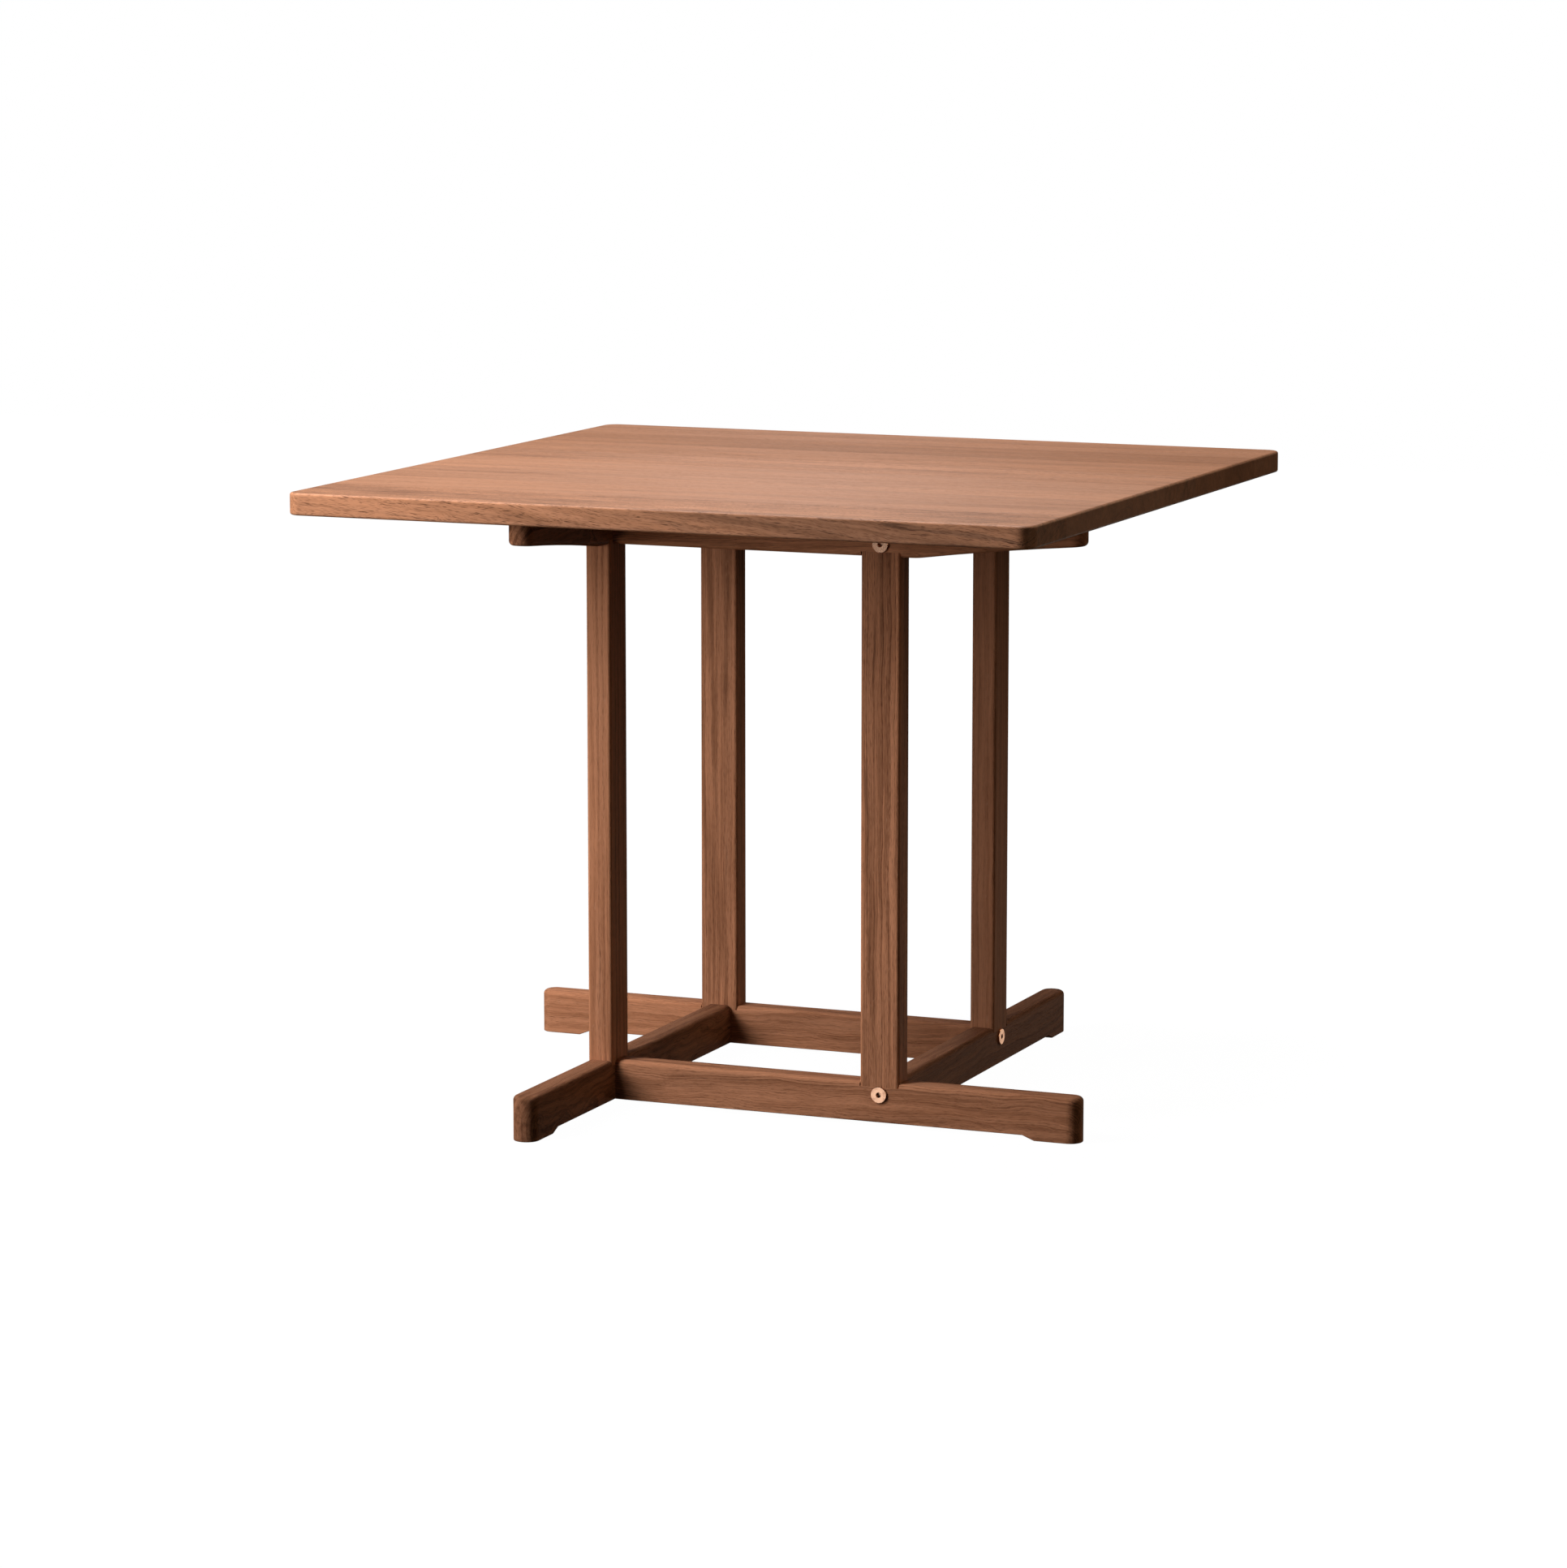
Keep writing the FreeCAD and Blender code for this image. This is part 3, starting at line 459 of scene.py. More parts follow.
@dataclass(frozen=True)
class OiledOak:
    """Oiled oak of a reddish brown."""

    dense: Colour = (0.40, 0.168, 0.086)
    porous: Colour = (0.225, 0.0875, 0.042)
    pore: Colour = (0.085, 0.032, 0.015)
    ray: Colour = (0.42, 0.212, 0.128)
    # Lighter colour of rubbed edges, also used as a painted highlight along them
    worn: Colour = (0.50, 0.24, 0.13)
    fibre_depth: float = 0.75
    streak_depth: float = 0.42
    band_depth: float = 0.2
    mineral_depth: float = 0.3
    ring_depth: float = 1.0
    pore_depth: float = 0.75
    end_darkening: float = 0.1
    wear_depth: float = 0.18
    roughness: float = 0.48
    specular: float = 0.08
    wear_width: float = 5.0 * MM
    bump_depth: float = 0.12 * MM

    def material(self, board: Board, low: Vector, high: Vector) -> Material:
        """Make the material of one board.

        Args:
            board: How the board was sawn.
            low: Lowest corner of what is rubbed, and painted with an edge highlight, as one piece.
            high: Highest corner of it.

        Returns:
            The board's material.
        """
        material, graph, shader = open_material(f"oiled_oak_{board.node}")
        place = graph.add("ShaderNodeTexCoord").outputs["Object"]
        box_low, box_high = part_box(board.node)
        middle = (box_low + box_high) / 2
        straight = Euler(board.grain.value).to_matrix()
        turn = Euler((0.0, board.slope, board.lean)).to_matrix() @ straight
        half_length = abs((straight @ (box_high - box_low)).x) / 2
        from_middle = self.mapping(graph, place, straight, Vector(), middle)
        from_pith = self.mapping(graph, place, turn, Vector((0.0, *board.pith)), middle)
        figure = graph.place("oak_figure", {
            "Place": from_pith, "Seed": board.seed, "Ring Width": board.ring_width,
            "Waviness": board.waviness})
        end = graph.place("end_grain", {
            "Place": from_middle, "Half Length": half_length / MM, "Depth": board.end_depth})
        # Lighter edges: rubbed wood together with a painted edge highlight
        wear_and_highlight = graph.place("edge_wear", {
            "Place": place, "Centre": (low + high) / 2, "Half Size": (high - low) / 2,
            "Width": self.wear_width})
        feeds = {socket.name: socket for group in (figure, end, wear_and_highlight) for socket in group.outputs}
        # The board's tone scales every colour, so the painted light and shade in it shows on all of them
        for name in ("dense", "porous", "pore", "ray", "worn"):
            toned_and_shaded = tuple(channel * board.tone for channel in getattr(self, name))
            feeds[f"{name.title()} Colour"] = opaque(toned_and_shaded)
        for name in ("fibre", "streak", "band", "mineral", "ring", "pore"):
            feeds[f"{name.title()} Depth"] = getattr(self, f"{name}_depth") * board.figure
        feeds["End Depth"] = self.end_darkening
        feeds["Wear Depth"] = self.wear_depth
        feeds["Base Roughness"] = self.roughness
        finish = graph.place("oiled_colour", feeds)
        bump = graph.out("ShaderNodeBump", {"Height": finish.outputs["Height"], "Distance": self.bump_depth})
        graph.feed(shader.inputs["Base Color"], finish.outputs["Colour"])
        graph.feed(shader.inputs["Roughness"], finish.outputs["Roughness"])
        graph.feed(shader.inputs["Normal"], bump)
        shader.inputs["Specular IOR Level"].default_value = self.specular * board.sheen
        return material

    @staticmethod
    def mapping(graph: Graph, place: Feed, turn: Matrix, shift: Vector,
                middle: Vector) -> NodeSocket:
        """Turn and centre a place, and measure it in millimetres.

        Args:
            graph: The material's graph.
            place: The place on the table.
            turn: What brings the fibres to X.
            shift: Where the middle goes, in millimetres.
            middle: The board's middle on the table.

        Returns:
            The mapped place's socket.
        """
        node = graph.add("ShaderNodeMapping", {"Vector": place}, vector_type="POINT")
        node.inputs["Scale"].default_value = (1 / MM, 1 / MM, 1 / MM)
        node.inputs["Rotation"].default_value = turn.to_euler()
        node.inputs["Location"].default_value = shift - turn @ (middle / MM)
        return node.outputs[0]


@dataclass(frozen=True)
class TurnedMetal:
    """Metal that was turned on a lathe: rings round its axis, stains and a dull tarnish."""

    name: str
    clean: Colour
    stained: Colour
    roughness: float
    ring_pitch: float = 0.28 * MM
    ring_dulling: float = 0.16
    stain_dulling: float = 0.15
    bump_depth: float = 0.003 * MM

    def material(self) -> Material:
        """Make the metal's material, which reads the piece's own turned place.

        Returns:
            The material.
        """
        material, graph, shader = open_material(self.name)
        turned = graph.add("ShaderNodeAttribute", attribute_name=TURNED_PLACE).outputs["Vector"]
        place = graph.add("ShaderNodeTexCoord").outputs["Object"]
        marks = graph.place("turned_marks", {
            "Turned Place": turned, "Place": place, "Ring Pitch": self.ring_pitch})
        stain, ring = marks.outputs["Stain"], marks.outputs["Ring"]
        graph.feed(shader.inputs["Base Color"], graph.mix(stain, opaque(self.clean), opaque(self.stained)))
        ringed = graph.math("MULTIPLY_ADD", ring, self.ring_dulling, self.roughness)
        graph.feed(shader.inputs["Roughness"], graph.math("MULTIPLY_ADD", stain, self.stain_dulling, ringed))
        bump = graph.out("ShaderNodeBump", {"Height": ring, "Distance": self.bump_depth})
        graph.feed(shader.inputs["Normal"], bump)
        shader.inputs["Metallic"].default_value = 1.0
        return material


@dataclass(frozen=True)
class PlatedSteel:
    """Zinc-plated steel with a faint crystal mottle, with waves per metre."""

    crystal_waves: float = 900.0
    crystal_share: float = 0.35
    haze: Pattern = Pattern((220.0, 220.0, 220.0), detail=3.0)
    haze_share: float = 0.6
    roughness: float = 0.26
    mottle_dulling: float = 0.3
    bump_depth: float = 0.02 * MM

    def material(self) -> Material:
        """Make the plated material.

        Returns:
            The material.
        """
        material, graph, shader = open_material("zinc_plated_steel")
        place = graph.add("ShaderNodeTexCoord").outputs["Object"]
        crystals = graph.add("ShaderNodeTexVoronoi", {"Vector": place, "Scale": self.crystal_waves})
        haze = graph.noise(place, self.haze).outputs[0]
        hazy = graph.math("MULTIPLY", haze, self.haze_share)
        mottle = graph.math("MULTIPLY_ADD", crystals.outputs["Color"], self.crystal_share, hazy)
        graph.feed(shader.inputs["Base Color"], graph.mix(mottle, opaque(ZINC_BRIGHT), opaque(ZINC_DARK)))
        dull = graph.math("MULTIPLY_ADD", mottle, self.mottle_dulling, self.roughness)
        graph.feed(shader.inputs["Roughness"], dull)
        bump = graph.out("ShaderNodeBump", {"Height": haze, "Distance": self.bump_depth})
        graph.feed(shader.inputs["Normal"], bump)
        shader.inputs["Metallic"].default_value = 1.0
        return material


def dress(node: str, material: Material) -> None:
    """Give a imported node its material.

    Args:
        node: The node's name.
        material: What all its slots get.
    """
    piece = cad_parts[node]
    if not piece.material_slots:
        piece.data.materials.append(material)
    for material_slot in piece.material_slots:
        material_slot.material = material
    log.info("%s: %s", node, material.name)


@dataclass
class TableTop:
    """The top: staves glued edge to edge, each sawn from another place of the log."""

    oak: OiledOak = OiledOak(
        dense=(0.40, 0.176, 0.089), porous=(0.225, 0.092, 0.043), roughness=0.42, specular=0.4,
        fibre_depth=0.22, streak_depth=0.16, band_depth=0.32, mineral_depth=0.34, ring_depth=0.36,
        pore_depth=0.95, end_darkening=0.15, wear_depth=0.12)
    # Pith of each stave from its middle, to the back and up, from the front stave on, in millimetres
    piths: tuple[tuple[float, float], ...] = (
        (-70, 95), (60, 120), (-35, 85), (110, 60), (-90, 70), (30, 105), (95, 90), (-55, 80))
    # Lightness of each stave: its own tone with some painted light and shade fitted in
    tones: tuple[float, ...] = (0.99, 1.02, 1.04, 1.08, 1.08, 0.98, 0.86, 0.97)
    figures: tuple[float, ...] = (1.8, 0.75, 0.8, 0.7, 1.2, 0.75, 0.85, 0.8)
    sheens: tuple[float, ...] = (1.0, 1.45, 1.6, 1.55, 1.15, 0.75, 0.55, 0.8)
    first_seed: float = 3.0
    ring_width: float = 3.4
    waviness: float = 14.0
    lean: float = 0.01
    slope: float = 0.012
    front_slope: float = -0.11  # of the stave whose long edge shows at the front

    def dress(self) -> None:
        """Give every stave its own oak, rubbed and painted with a highlight along the edges of the whole top.
        """
        staves = [f"top_stave_{index + 1}" for index in range(len(self.piths))]
        boxes = [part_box(stave) for stave in staves]
        low = Vector([min(box[0][axis] for box in boxes) for axis in range(3)])
        high = Vector([max(box[1][axis] for box in boxes) for axis in range(3)])
        for index, stave in enumerate(staves):
            board = Board(
                stave, GrainAxis.LEFT_TO_RIGHT, self.piths[index], self.first_seed + index,
                tone=self.tones[index], lean=self.lean * (-1) ** index,
                slope=self.slope if index else self.front_slope, ring_width=self.ring_width,
                waviness=self.waviness, figure=self.figures[index], sheen=self.sheens[index])
            dress(stave, self.oak.material(board, low, high))


@dataclass
class CrossFrame:
    """One flat frame of the base: a foot rail, a leg and a top rail."""

    turn: int
    tones: tuple[float, float, float]  # of the foot rail, the leg and the top rail, each holding painted light and shade as well as its own tone
    leg_figure: float
    rail_figure: float = 1.0
    rail_pith: tuple[float, float] = (46.0, 38.0)
    leg_pith: tuple[float, float] = (70.0, 90.0)
    rail_ring_width: float = 4.2
    leg_ring_width: float = 5.0
    rail_end_depth: float = 14.0
    first_seed: float = 20.0
    seed_step: float = 5.0
    oak: OiledOak = field(default_factory=OiledOak)

    def dress(self) -> None:
        """Give the frame's three pieces their oak."""
        side, corner = SIDES[self.turn], LEG_CORNERS[self.turn]
        seed = self.first_seed + self.seed_step * self.turn
        foot, leg, top = self.tones
        rail = {
            "grain": GrainAxis.FRONT_TO_BACK if self.turn % 2 else GrainAxis.LEFT_TO_RIGHT,
            "pith": self.rail_pith, "ring_width": self.rail_ring_width, "end_depth": self.rail_end_depth,
            "figure": self.rail_figure}
        boards = [
            Board(f"foot_rail_{side}", seed=seed, tone=foot, lean=0.02, slope=0.03, waviness=18.0, **rail),
            Board(f"leg_{corner}", GrainAxis.UPRIGHT, self.leg_pith, seed + 1, leg, lean=0.006, slope=0.004,
                  ring_width=self.leg_ring_width, waviness=6.0, figure=self.leg_figure),
            Board(f"top_rail_{side}", seed=seed + 2, tone=top, lean=-0.015, slope=0.02, waviness=14.0,
                  **rail),
        ]
        for board in boards:
            dress(board.node, self.oak.material(board, *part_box(board.node)))


@dataclass(frozen=True)
class FastenerSizes:
    """What the lathe has to know of a bolt or screw. Each is an input of the tree, by its title."""

    tilt: float  # turn round X that brings the head outwards
    head_radius: float
    head_height: float
    rim_bevel: float
    socket_half_width: float
    socket_depth: float
    neck_radius: float
    neck_length: float
    shank_radius: float
    length: float
    tip_length: float
    tip_radius: float
    thread_length: float
    thread_pitch: float
    thread_depth: float
    ridges: int = 14
    ridge_depth: float = 0.008 * MM
    countersink: float = 0.4 * MM
    sectors: int = 72

    @staticmethod
    def titles() -> dict[str, str]:
        """Return the title of each size, by its name."""
        return {size.name: size.name.replace("_", " ").title() for size in fields(FastenerSizes)}


class TurnedFastenerTree:
    """Geometry Nodes that turn a bolt or screw, cut its socket and repeat it round the table."""

    MOUTH_SLOPE = 0.5  # of the countersink round the socket
    ROWS_PER_WAVE = 6.0  # points that draw one ridge or one turn of thread
    WELD = 0.002 * MM
    SHARP_EDGE = math.radians(34)

    def __init__(self) -> None:
        """Build the tree."""
        titles = FastenerSizes.titles()
        inputs = {"Places": "NodeSocketGeometry"}
        for size in fields(FastenerSizes):
            inputs[titles[size.name]] = "NodeSocketInt" if size.type is int else FLOAT
        inputs["Finish"] = "NodeSocketMaterial"
        self.graph, self.given, wanted = open_group(
            "turned_fastener", "GeometryNodeTree", inputs, {"Geometry": "NodeSocketGeometry"})
        threaded = self.cut_thread(self.turn_profile())
        self.graph.feed(wanted["Geometry"], self.repeat(self.cut_socket(threaded)))

    def less(self, first: Feed, second: Feed) -> NodeSocket:
        """Return the difference of two sizes."""
        return self.graph.math("SUBTRACT", first, second)

    def stretch(self, start: tuple[Feed, Feed], end: tuple[Feed, Feed]) -> NodeSocket:
        """Draw one straight stretch of the profile.

        Args:
            start: Radius and height where it starts.
            end: Radius and height where it ends.

        Returns:
            The stretch as a curve.
        """
        ends = {}
        for name, (radius, height) in (("Start", start), ("End", end)):
            # The lathe's path is a circle of the head's radius, and its profile hangs from that circle
            across = self.less(radius, self.given["Head Radius"])
            ends[name] = self.graph.combine(across, self.less(0.0, height), 0.0)
        return self.graph.out("GeometryNodeCurvePrimitiveLine", ends)

    def turn_profile(self) -> NodeSocket:
        """Turn the whole profile round the axis.

        Returns:
            The closed turned mesh, head up, with its seat on the origin.
        """
        graph, given = self.graph, self.given
        top, head, shank = given["Head Height"], given["Head Radius"], given["Shank Radius"]
        socket_corner = graph.math("MULTIPLY", given["Socket Half Width"], HEXAGON_CORNER)
        flare = graph.math("MULTIPLY", given["Countersink"], self.MOUTH_SLOPE)
        mouth = graph.math("ADD", socket_corner, flare)
        floor = self.less(top, given["Countersink"])
        neck_end = self.less(0.0, given["Neck Length"])
        end = self.less(0.0, given["Length"])
        corners = [
            (0.0, floor), (given["Socket Half Width"], floor), (mouth, top),
            (self.less(head, given["Rim Bevel"]), top), (head, self.less(top, given["Rim Bevel"])),
            (head, 0.0), (given["Neck Radius"], 0.0), (given["Neck Radius"], neck_end), (shank, neck_end),
            (shank, graph.math("ADD", end, given["Thread Length"])),
            (shank, graph.math("ADD", end, given["Tip Length"])), (given["Tip Radius"], end), (0.0, end)]
        stretches = [self.stretch(*pair) for pair in zip(corners, corners[1:])]
        face, threaded = 2, 9
        stretches[face] = self.ridge(stretches[face])
        rows = graph.math("DIVIDE", given["Thread Pitch"], self.ROWS_PER_WAVE)
        feeds = {"Curve": stretches[threaded], "Length": rows}
        stretches[threaded] = graph.out("GeometryNodeResampleCurve", feeds, mode="LENGTH")
        profile = graph.add("GeometryNodeJoinGeometry")
        for curve in stretches:
            graph.feed(profile.inputs[0], curve)
        path = graph.add("GeometryNodeCurvePrimitiveCircle", mode="RADIUS")
        graph.feed(path.inputs["Resolution"], given["Sectors"])
        graph.feed(path.inputs["Radius"], head)
        feeds = {"Curve": path.outputs[0], "Profile Curve": profile.outputs[0]}
        swept = graph.out("GeometryNodeCurveToMesh", feeds)
        feeds = {"Geometry": swept, "Distance": self.WELD}
        welded = graph.out("GeometryNodeMergeByDistance", feeds)
        return graph.out("GeometryNodeFlipFaces", {"Mesh": welded})

    def ridge(self, face: NodeSocket) -> NodeSocket:
        """Cut fine turning ridges into the head's face.

        Args:
            face: The face's stretch of the profile.

        Returns:
            The ridged stretch.
        """
        graph, given = self.graph, self.given
        count = graph.math("MULTIPLY_ADD", given["Ridges"], self.ROWS_PER_WAVE, 1.0)
        fine = graph.out("GeometryNodeResampleCurve", {"Curve": face, "Count": count}, mode="COUNT")
        share = graph.add("GeometryNodeSplineParameter").outputs["Factor"]
        turns = graph.math("MULTIPLY", graph.math("MULTIPLY", share, given["Ridges"]), 2 * math.pi)
        wave = graph.math("MULTIPLY_ADD", graph.math("COSINE", turns), -0.5, 0.5)
        sunk = graph.combine(0.0, graph.math("MULTIPLY", wave, given["Ridge Depth"]), 0.0)
        return graph.out("GeometryNodeSetPosition", {"Geometry": fine, "Offset": sunk})

    def cut_thread(self, turned: NodeSocket) -> NodeSocket:
        """Cut a screw thread into the end of the shank.

        Args:
            turned: The turned mesh.

        Returns:
            The threaded mesh.
        """
        graph, given = self.graph, self.given
        place = graph.out("GeometryNodeInputPosition")
        across, up, along = graph.separate(place)
        winding = graph.math("DIVIDE", graph.math("ARCTAN2", up, across), 2 * math.pi)
        phase = self.less(graph.math("DIVIDE", along, given["Thread Pitch"]), winding)
        groove = graph.math("ABSOLUTE", self.less(graph.math("FRACT", phase), 0.5))
        start = self.less(given["Thread Length"], given["Length"])
        run_out = graph.math("DIVIDE", self.less(start, along), given["Thread Pitch"], clamp=True)
        tip = graph.math("ADD", self.less(0.0, given["Length"]), given["Tip Length"])
        lead_in = graph.math("DIVIDE", self.less(along, tip), given["Thread Pitch"], clamp=True)
        depth = graph.math("MULTIPLY", given["Thread Depth"], graph.math("MULTIPLY", run_out, lead_in))
        cut = graph.math("MULTIPLY", graph.math("MULTIPLY", groove, 2.0), depth)
        radial = graph.vector("NORMALIZE", graph.combine(across, up, 0.0))
        shift = graph.scale(radial, self.less(0.0, cut))
        return graph.out("GeometryNodeSetPosition", {"Geometry": turned, "Offset": shift})

    def cut_socket(self, turned: NodeSocket) -> NodeSocket:
        """Cut the hexagon socket, and keep each point's turned place for the finish.

        Args:
            turned: The turned mesh.

        Returns:
            The finished fastener.
        """
        graph, given = self.graph, self.given
        height = graph.math("MULTIPLY", given["Socket Depth"], 2.0)
        corner = graph.math("MULTIPLY", given["Socket Half Width"], HEXAGON_CORNER)
        prism = graph.out("GeometryNodeMeshCylinder", {"Vertices": 6, "Radius": corner, "Depth": height})
        lifted = graph.add("GeometryNodeTransform", {"Geometry": prism})
        graph.feed(lifted.inputs["Translation"], graph.combine(0.0, 0.0, given["Head Height"]))
        cut = graph.add("GeometryNodeMeshBoolean", operation="DIFFERENCE", solver="EXACT")
        graph.feed(cut.inputs["Mesh 1"], turned)
        graph.feed(cut.inputs["Mesh 2"], lifted.outputs[0])
        angle = graph.out("GeometryNodeInputMeshEdgeAngle")
        sharp = graph.out("FunctionNodeCompare", {0: angle, 1: self.SHARP_EDGE},
                          data_type="FLOAT", operation="GREATER_THAN")
        feeds = {"Geometry": cut.outputs[0], "Shade Smooth": True}
        smooth = graph.out("GeometryNodeSetShadeSmooth", feeds, domain="FACE")
        feeds = {"Geometry": smooth, "Selection": sharp, "Shade Smooth": False}
        edged = graph.out("GeometryNodeSetShadeSmooth", feeds, domain="EDGE")
        feeds = {"Geometry": edged, "Name": TURNED_PLACE}
        store = graph.add("GeometryNodeStoreNamedAttribute", feeds, data_type="FLOAT_VECTOR", domain="POINT")
        value = next(socket for socket in store.inputs if socket.name == "Value" and socket.enabled)
        graph.feed(value, graph.out("GeometryNodeInputPosition"))
        return store.outputs[0]

    def repeat(self, fastener: NodeSocket) -> NodeSocket:
        """Set a fastener on each place of the front frame, then repeat that frame by quarter turns.

        Args:
            fastener: One finished fastener.

        Returns:
            All fasteners as one real mesh with the finish on it.
        """
        graph, given = self.graph, self.given
        turns = graph.out("GeometryNodePoints", {"Count": len(SIDES)})
        angle = graph.math("MULTIPLY", graph.out("GeometryNodeInputIndex"), QUARTER_TURN)
        copies = fastener
        for points, turn in (
                (given["Places"], graph.combine(given["Tilt"], 0.0, 0.0)),
                (turns, graph.combine(0.0, 0.0, angle))):
            rotation = graph.out("FunctionNodeEulerToRotation", {0: turn})
            feeds = {"Points": points, "Instance": copies, "Rotation": rotation}
            placed = graph.out("GeometryNodeInstanceOnPoints", feeds)
            copies = graph.out("GeometryNodeRealizeInstances", {"Geometry": placed})
        feeds = {"Geometry": copies, "Material": given["Finish"]}
        return graph.out("GeometryNodeSetMaterial", feeds)


@dataclass
class TurnedFasteners:
    """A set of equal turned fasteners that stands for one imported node."""

    node: str
    slot: str
    finish: Material
    places: list[Vector]  # on the front frame
    sizes: FastenerSizes

    def build(self, tree: TurnedFastenerTree) -> None:
        """Make the fasteners as one plain mesh and put it in the node's place.

        Args:
            tree: The tree that turns them.
        """
        carrier_mesh = bpy.data.meshes.new(f"{self.node}_places")
        carrier_mesh.from_pydata(self.places, [], [])
        carrier = bpy.data.objects.new(f"{self.node}_places", carrier_mesh)
        bpy.context.scene.collection.objects.link(carrier)
        modifier = carrier.modifiers.new("turning", "NODES")
        modifier.node_group = tree.graph.tree
        settings = {title: getattr(self.sizes, name) for name, title in FastenerSizes.titles().items()}
        settings["Finish"] = self.finish
        for item in tree.graph.tree.interface.items_tree:
            if item.in_out == "INPUT" and item.name in settings:
                modifier[item.identifier] = settings[item.name]
        evaluated = carrier.evaluated_get(bpy.context.evaluated_depsgraph_get())
        mesh = bpy.data.meshes.new_from_object(evaluated)
        carrier.modifiers.remove(modifier)
        bpy.data.objects.remove(carrier)
        mesh.name = f"turned_{self.node}"
        piece = bpy.data.objects.new(mesh.name, mesh)
        bpy.context.scene.collection.objects.link(piece)
        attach(piece, "root")
        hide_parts(self.node)
        log.info("%s: %d faces for %s", piece.name, len(mesh.polygons), self.node)


BOLT_SIZES = FastenerSizes(
    tilt=QUARTER_TURN, head_radius=9.5 * MM, head_height=2.2 * MM, rim_bevel=0.5 * MM,
    socket_half_width=2.5 * MM, socket_depth=5 * MM, neck_radius=4.5 * MM, neck_length=8 * MM,
    shank_radius=3 * MM, length=70 * MM, tip_length=0.8 * MM, tip_radius=2.2 * MM,
    thread_length=24 * MM, thread_pitch=1 * MM, thread_depth=0.5 * MM)
SCREW_SIZES = FastenerSizes(
    tilt=math.pi, head_radius=4.75 * MM, head_height=3.6 * MM, rim_bevel=1.2 * MM,
    socket_half_width=1.5 * MM, socket_depth=2 * MM, neck_radius=2.5 * MM, neck_length=2 * MM,
    shank_radius=2.5 * MM, length=36.5 * MM, tip_length=6 * MM, tip_radius=0.2 * MM,
    thread_length=28 * MM, thread_pitch=2.2 * MM, thread_depth=0.9 * MM, ridges=3, ridge_depth=0.02 * MM,
    countersink=0.2 * MM, sectors=48)
# From a top rail's butted end and from its free end to the screw nearest to it
SCREW_INSETS = (115 * MM, 98 * MM)


def bolts(level: str, brass: Material) -> TurnedFasteners:
    """Describe the brass bolts of one level.

    Args:
        level: "foot" or "top".
        brass: Their finish.

    Returns:
        The four bolts, heads outwards on the rails that run past.
    """
    leg_low, leg_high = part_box("leg_front_right")
    low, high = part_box(f"{level}_bolts")
    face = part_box(f"{level}_rail_front")[0].y
    seat = Vector(((leg_low.x + leg_high.x) / 2, face, (low.z + high.z) / 2))
    return TurnedFasteners(f"{level}_bolts", "brass", brass, [seat], BOLT_SIZES)


def top_screws(zinc: Material) -> TurnedFasteners:
    """Describe the screws that hold the top down.

    Args:
        zinc: Their finish.

    Returns:
        The eight screws, heads down on their washers.
    """
    low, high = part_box("top_rail_front")
    seat_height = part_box("top_screw_washers")[0].z
    middle = (low.y + high.y) / 2
    places = (low.x + SCREW_INSETS[0], high.x - SCREW_INSETS[1])
    seats = [Vector((along, middle, seat_height)) for along in places]
    return TurnedFasteners("top_screws", "zinc_steel", zinc, seats, SCREW_SIZES)


@dataclass
class HiddenFittings:
    """What the joints hold inside: barrel nuts and washers of plated steel, and dowels of pale wood."""

    steel: PlatedSteel = field(default_factory=PlatedSteel)
    pale_wood: OiledOak = OiledOak(
        dense=(0.62, 0.44, 0.27), porous=(0.50, 0.33, 0.19), pore=(0.30, 0.18, 0.10),
        ray=(0.70, 0.52, 0.34), worn=(0.70, 0.53, 0.36), streak_depth=0.3, band_depth=0.2, pore_depth=0.35)
    dowel_pith: tuple[float, float] = (40.0, 25.0)
    dowel_ring_width: float = 1.4
    first_seed: float = 60.0

    def dress(self) -> None:
        """Give the fittings their finishes."""
        steel = self.steel.material()
        for node in ("foot_barrel_nuts", "top_barrel_nuts", "top_screw_washers"):
            dress(node, steel)
        for index, node in enumerate(("foot_dowels", "top_dowels")):
            board = Board(node, GrainAxis.LEFT_TO_RIGHT, self.dowel_pith, self.first_seed + index,
                          ring_width=self.dowel_ring_width)
            dress(node, self.pale_wood.material(board, *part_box(node)))


def direction(azimuth: float, elevation: float) -> Vector:
    """Return the way to a place seen from the table, with azimuth from the front to the right."""
    level = math.cos(elevation)
    return Vector((math.sin(azimuth) * level, -math.cos(azimuth) * level, math.sin(elevation)))


@dataclass
class SoftBox:
    """A studio lamp with an even rectangular face."""

    name: str
    azimuth: float  # in degrees from the front, to the right
    elevation: float  # in degrees
    power: float
    width: float
    height: float
    distance: float = 2.2
    colour: Colour = WHITE
    target: float = 0.4  # height on the table's middle line that it shines at
    lights: bool = True  # whether it lights dull surfaces
    mirrors: bool = True  # whether glossy surfaces mirror it

    def build(self) -> None:
        """Hang the lamp and turn it to its target."""
        data = bpy.data.lights.new(self.name, "AREA")
        data.shape = "RECTANGLE"
        data.size = self.width
        data.size_y = self.height
        data.energy = self.power
        data.color = self.colour
        lamp = bpy.data.objects.new(self.name, data)
        away = direction(math.radians(self.azimuth), math.radians(self.elevation))
        lamp.location = Vector((0.0, 0.0, self.target)) + away * self.distance
        lamp.rotation_euler = (-away).to_track_quat("-Z", "Y").to_euler()
        lamp.visible_diffuse = self.lights
        lamp.visible_glossy = self.mirrors
        bpy.context.scene.collection.objects.link(lamp)


@dataclass
class FrontLamp(SoftBox):
    """A lamp in front of the table, which would burn out the oiled top if it were mirrored."""

    target: float = 0.35
    mirrors: bool = False


@dataclass
class Reflector(SoftBox):
    """A bright board that is only there for the brass to mirror."""

    target: float = 0.3
    lights: bool = False


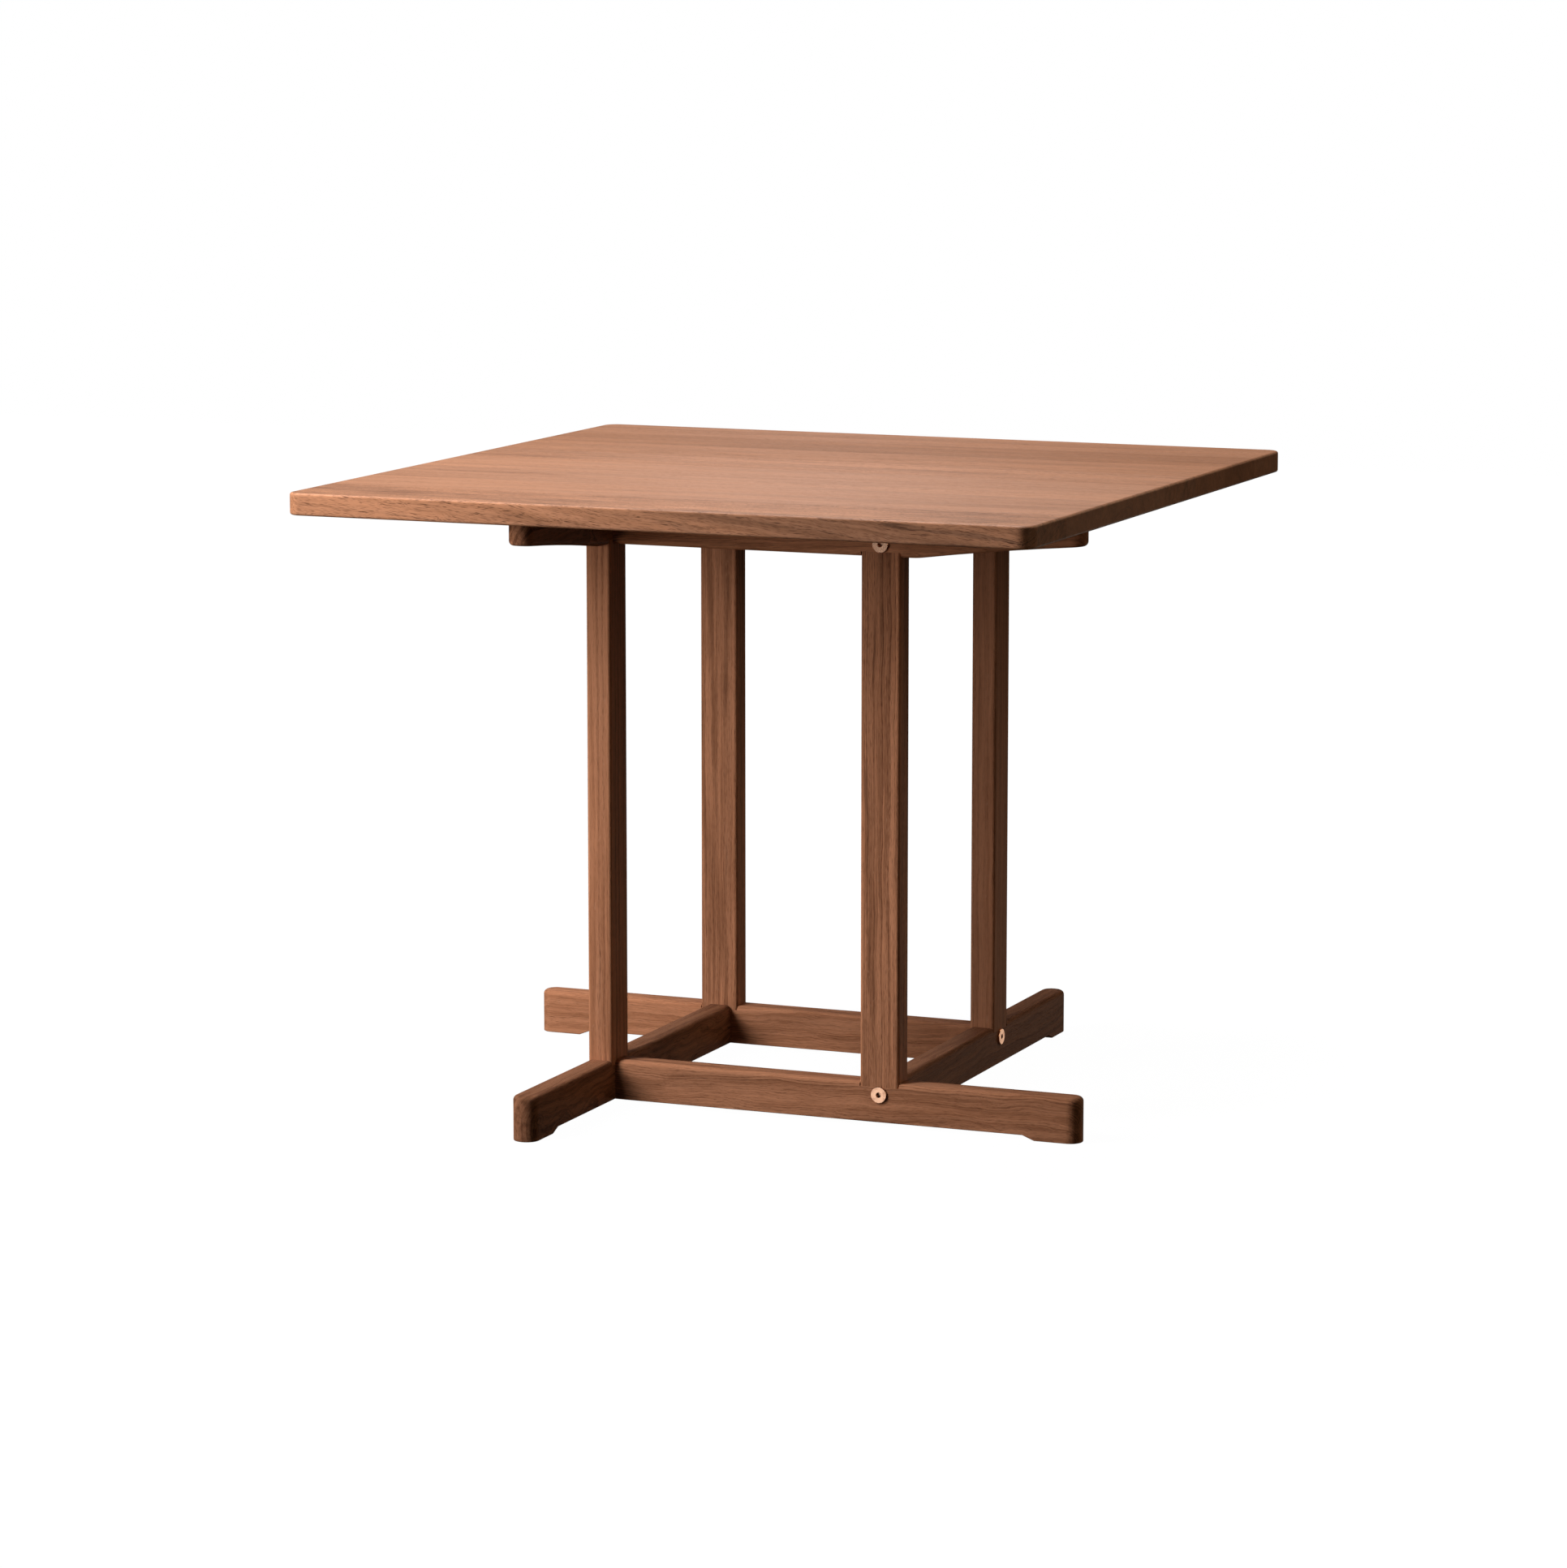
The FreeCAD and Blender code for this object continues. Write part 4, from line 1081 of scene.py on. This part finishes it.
@dataclass
class Studio:
    """Pale floor, soft lamps, white surroundings and the camera."""

    floor_side: float = 14.0
    floor_colour: Colour = (0.9, 0.9, 0.9)
    floor_roughness: float = 0.9
    floor_glow: float = 1.02
    shade: float = 0.03  # how much of the light on the floor shows near the table
    shade_radius: float = 0.75  # where the floor starts to be plain white
    shade_fade: float = 0.55
    azimuth: float = math.radians(22.365)
    elevation: float = math.radians(9.128)
    distance: float = 6.42297
    target: tuple[float, float, float] = (-0.018942, -0.008394, 0.354788)
    focal_pixels: float = 6814.69
    frame_pixels: float = 1932.0
    sensor: float = 36.0
    farthest: float = 100.0
    fill: float = 0.012
    fill_colour: Colour = (1.0, 0.75, 0.5)
    lamps: tuple[SoftBox, ...] = (
        # Name, azimuth, elevation, power, width and height
        FrontLamp("key_lamp", -36, 46, 7.6, 0.25, 0.25),
        FrontLamp("strip_lamp", -46, 30, 26.5, 0.45, 0.9, distance=2.1),
        FrontLamp("low_lamp", -38, 12, 12.5, 0.45, 0.6),
        FrontLamp("floor_bounce", -42, -12, 4.0, 0.6, 0.6, colour=WARM),
        SoftBox("overhead_lamp", -90, 70, 80.0, 2.0, 2.0, distance=4.0, target=0.6),
        SoftBox("ceiling_lamp", 0, 90, 78.0, 1.0, 1.0, distance=4.0, target=0.6),
        SoftBox("back_lamp", -158, 40, 11.0, 1.5, 1.5, distance=4.0, target=0.72),
        SoftBox("sheen_lamp", -158, 24, 1.1, 0.5, 0.5, target=0.72),
        SoftBox("far_side_lamp", 135, 30, 17.0, 2.0, 2.0, distance=4.0, colour=WARM),
        SoftBox("side_lamp", 76, 10, 7.4, 1.5, 1.5, distance=4.0, colour=WARM),
        Reflector("front_reflector", -16, -13.2, 5.5, 1.6, 1.0),
        Reflector("left_reflector", -47, -15, 2.2, 0.8, 0.8),
        Reflector("rear_reflector", 133, -15, 0.86, 0.5, 0.5, colour=WARM),
        Reflector("back_reflector", 155, -14.6, 1.15, 0.65, 0.65, colour=(1.0, 0.92, 0.82)),
    )

    def build(self) -> None:
        """Set the whole studio up."""
        self.build_floor()
        self.build_surroundings()
        for lamp in self.lamps:
            lamp.build()
        self.build_camera()
        bpy.context.scene.view_settings.view_transform = "Standard"

    def build_floor(self) -> None:
        """Lay the pale floor, which shows a faint shade near the table and lets light through from below."""
        half = self.floor_side / 2
        mesh = bpy.data.meshes.new("studio_floor")
        corners = [(-half, -half, 0), (half, -half, 0), (half, half, 0), (-half, half, 0)]
        mesh.from_pydata(corners, [], [(0, 1, 2, 3)])
        floor = bpy.data.objects.new("studio_floor", mesh)
        bpy.context.scene.collection.objects.link(floor)
        material, graph, shader = open_material("pale_floor")
        shader.inputs["Base Color"].default_value = opaque(self.floor_colour)
        shader.inputs["Roughness"].default_value = self.floor_roughness
        place = graph.add("ShaderNodeTexCoord").outputs["Object"]
        away = graph.add("ShaderNodeVectorMath", {0: place}, operation="LENGTH").outputs["Value"]
        shade = graph.step(away, self.shade_radius, self.shade_radius + self.shade_fade, self.shade, 0.0)
        glow = graph.out("ShaderNodeEmission", {"Strength": self.floor_glow})
        paper = graph.out("ShaderNodeMixShader", {0: shade, 1: glow, 2: shader.outputs[0]})
        clear = graph.out("ShaderNodeBsdfTransparent")
        behind = graph.add("ShaderNodeNewGeometry").outputs["Backfacing"]
        one_sided = graph.out("ShaderNodeMixShader", {0: behind, 1: paper, 2: clear})
        output = next(node for node in material.node_tree.nodes if node.type == "OUTPUT_MATERIAL")
        graph.feed(output.inputs["Surface"], one_sided)
        mesh.materials.append(material)
        floor.visible_diffuse = False
        floor.visible_glossy = False
        floor.visible_shadow = False

    def build_surroundings(self) -> None:
        """Make the surroundings white to the eye and dim as a light."""
        world = bpy.data.worlds.new("white_room")
        bpy.context.scene.world = world
        world.use_nodes = True
        world.node_tree.nodes.clear()
        graph = Graph(world.node_tree)
        dim = graph.out("ShaderNodeBackground", {"Color": opaque(self.fill_colour), "Strength": self.fill})
        white = graph.out("ShaderNodeBackground", {"Color": opaque(WHITE), "Strength": 1.0})
        seen = graph.add("ShaderNodeLightPath").outputs["Is Camera Ray"]
        both = graph.out("ShaderNodeMixShader", {0: seen, 1: dim, 2: white})
        graph.add("ShaderNodeOutputWorld", {"Surface": both})

    def build_camera(self) -> None:
        """Stand the camera where the photograph was taken."""
        data = bpy.data.cameras.new("photo_camera")
        data.sensor_width = self.sensor
        data.lens = self.focal_pixels / self.frame_pixels * self.sensor
        data.clip_end = self.farthest
        camera = bpy.data.objects.new("photo_camera", data)
        back = direction(self.azimuth, self.elevation)
        camera.location = Vector(self.target) + back * self.distance
        camera.rotation_euler = (-back).to_track_quat("-Z", "Y").to_euler()
        bpy.context.scene.collection.objects.link(camera)
        bpy.context.scene.camera = camera


def main() -> None:
    """Dress the table, turn its fasteners and set the studio up."""
    logging.basicConfig(level=logging.INFO, format="%(name)s: %(message)s")
    for group in (OakFigure(), OiledColour(), EndGrain(), EdgeWearAndHighlight(), TurnedMarks()):
        group.build()
    TableTop().dress()
    # The tone values make lit boards lighter and shaded ones darker: painted light and shade along with the
    # wood's own tone
    frames = [
        CrossFrame(turn=0, tones=(1.20, 1.30, 1.45), leg_figure=1.4, rail_figure=0.95),
        CrossFrame(turn=1, tones=(0.84, 1.12, 1.0), leg_figure=0.7),
        CrossFrame(turn=2, tones=(1.38, 1.12, 1.0), leg_figure=1.2, rail_figure=0.8),
        CrossFrame(turn=3, tones=(0.82, 1.24, 1.0), leg_figure=0.8, rail_figure=1.1,
                   rail_pith=(62.0, 8.0), rail_ring_width=2.6),
    ]
    for cross_frame in frames:
        cross_frame.dress()
    brass = TurnedMetal("turned_brass", (0.95, 0.56, 0.37), (0.82, 0.44, 0.28), roughness=0.16).material()
    zinc = TurnedMetal("zinc_plated_screws", ZINC_BRIGHT, ZINC_DARK, roughness=0.30).material()
    fastener_tree = TurnedFastenerTree()
    for fasteners in (bolts("foot", brass), bolts("top", brass), top_screws(zinc)):
        fasteners.build(fastener_tree)
    HiddenFittings().dress()
    Studio().build()


if __name__ == "__main__":
    main()
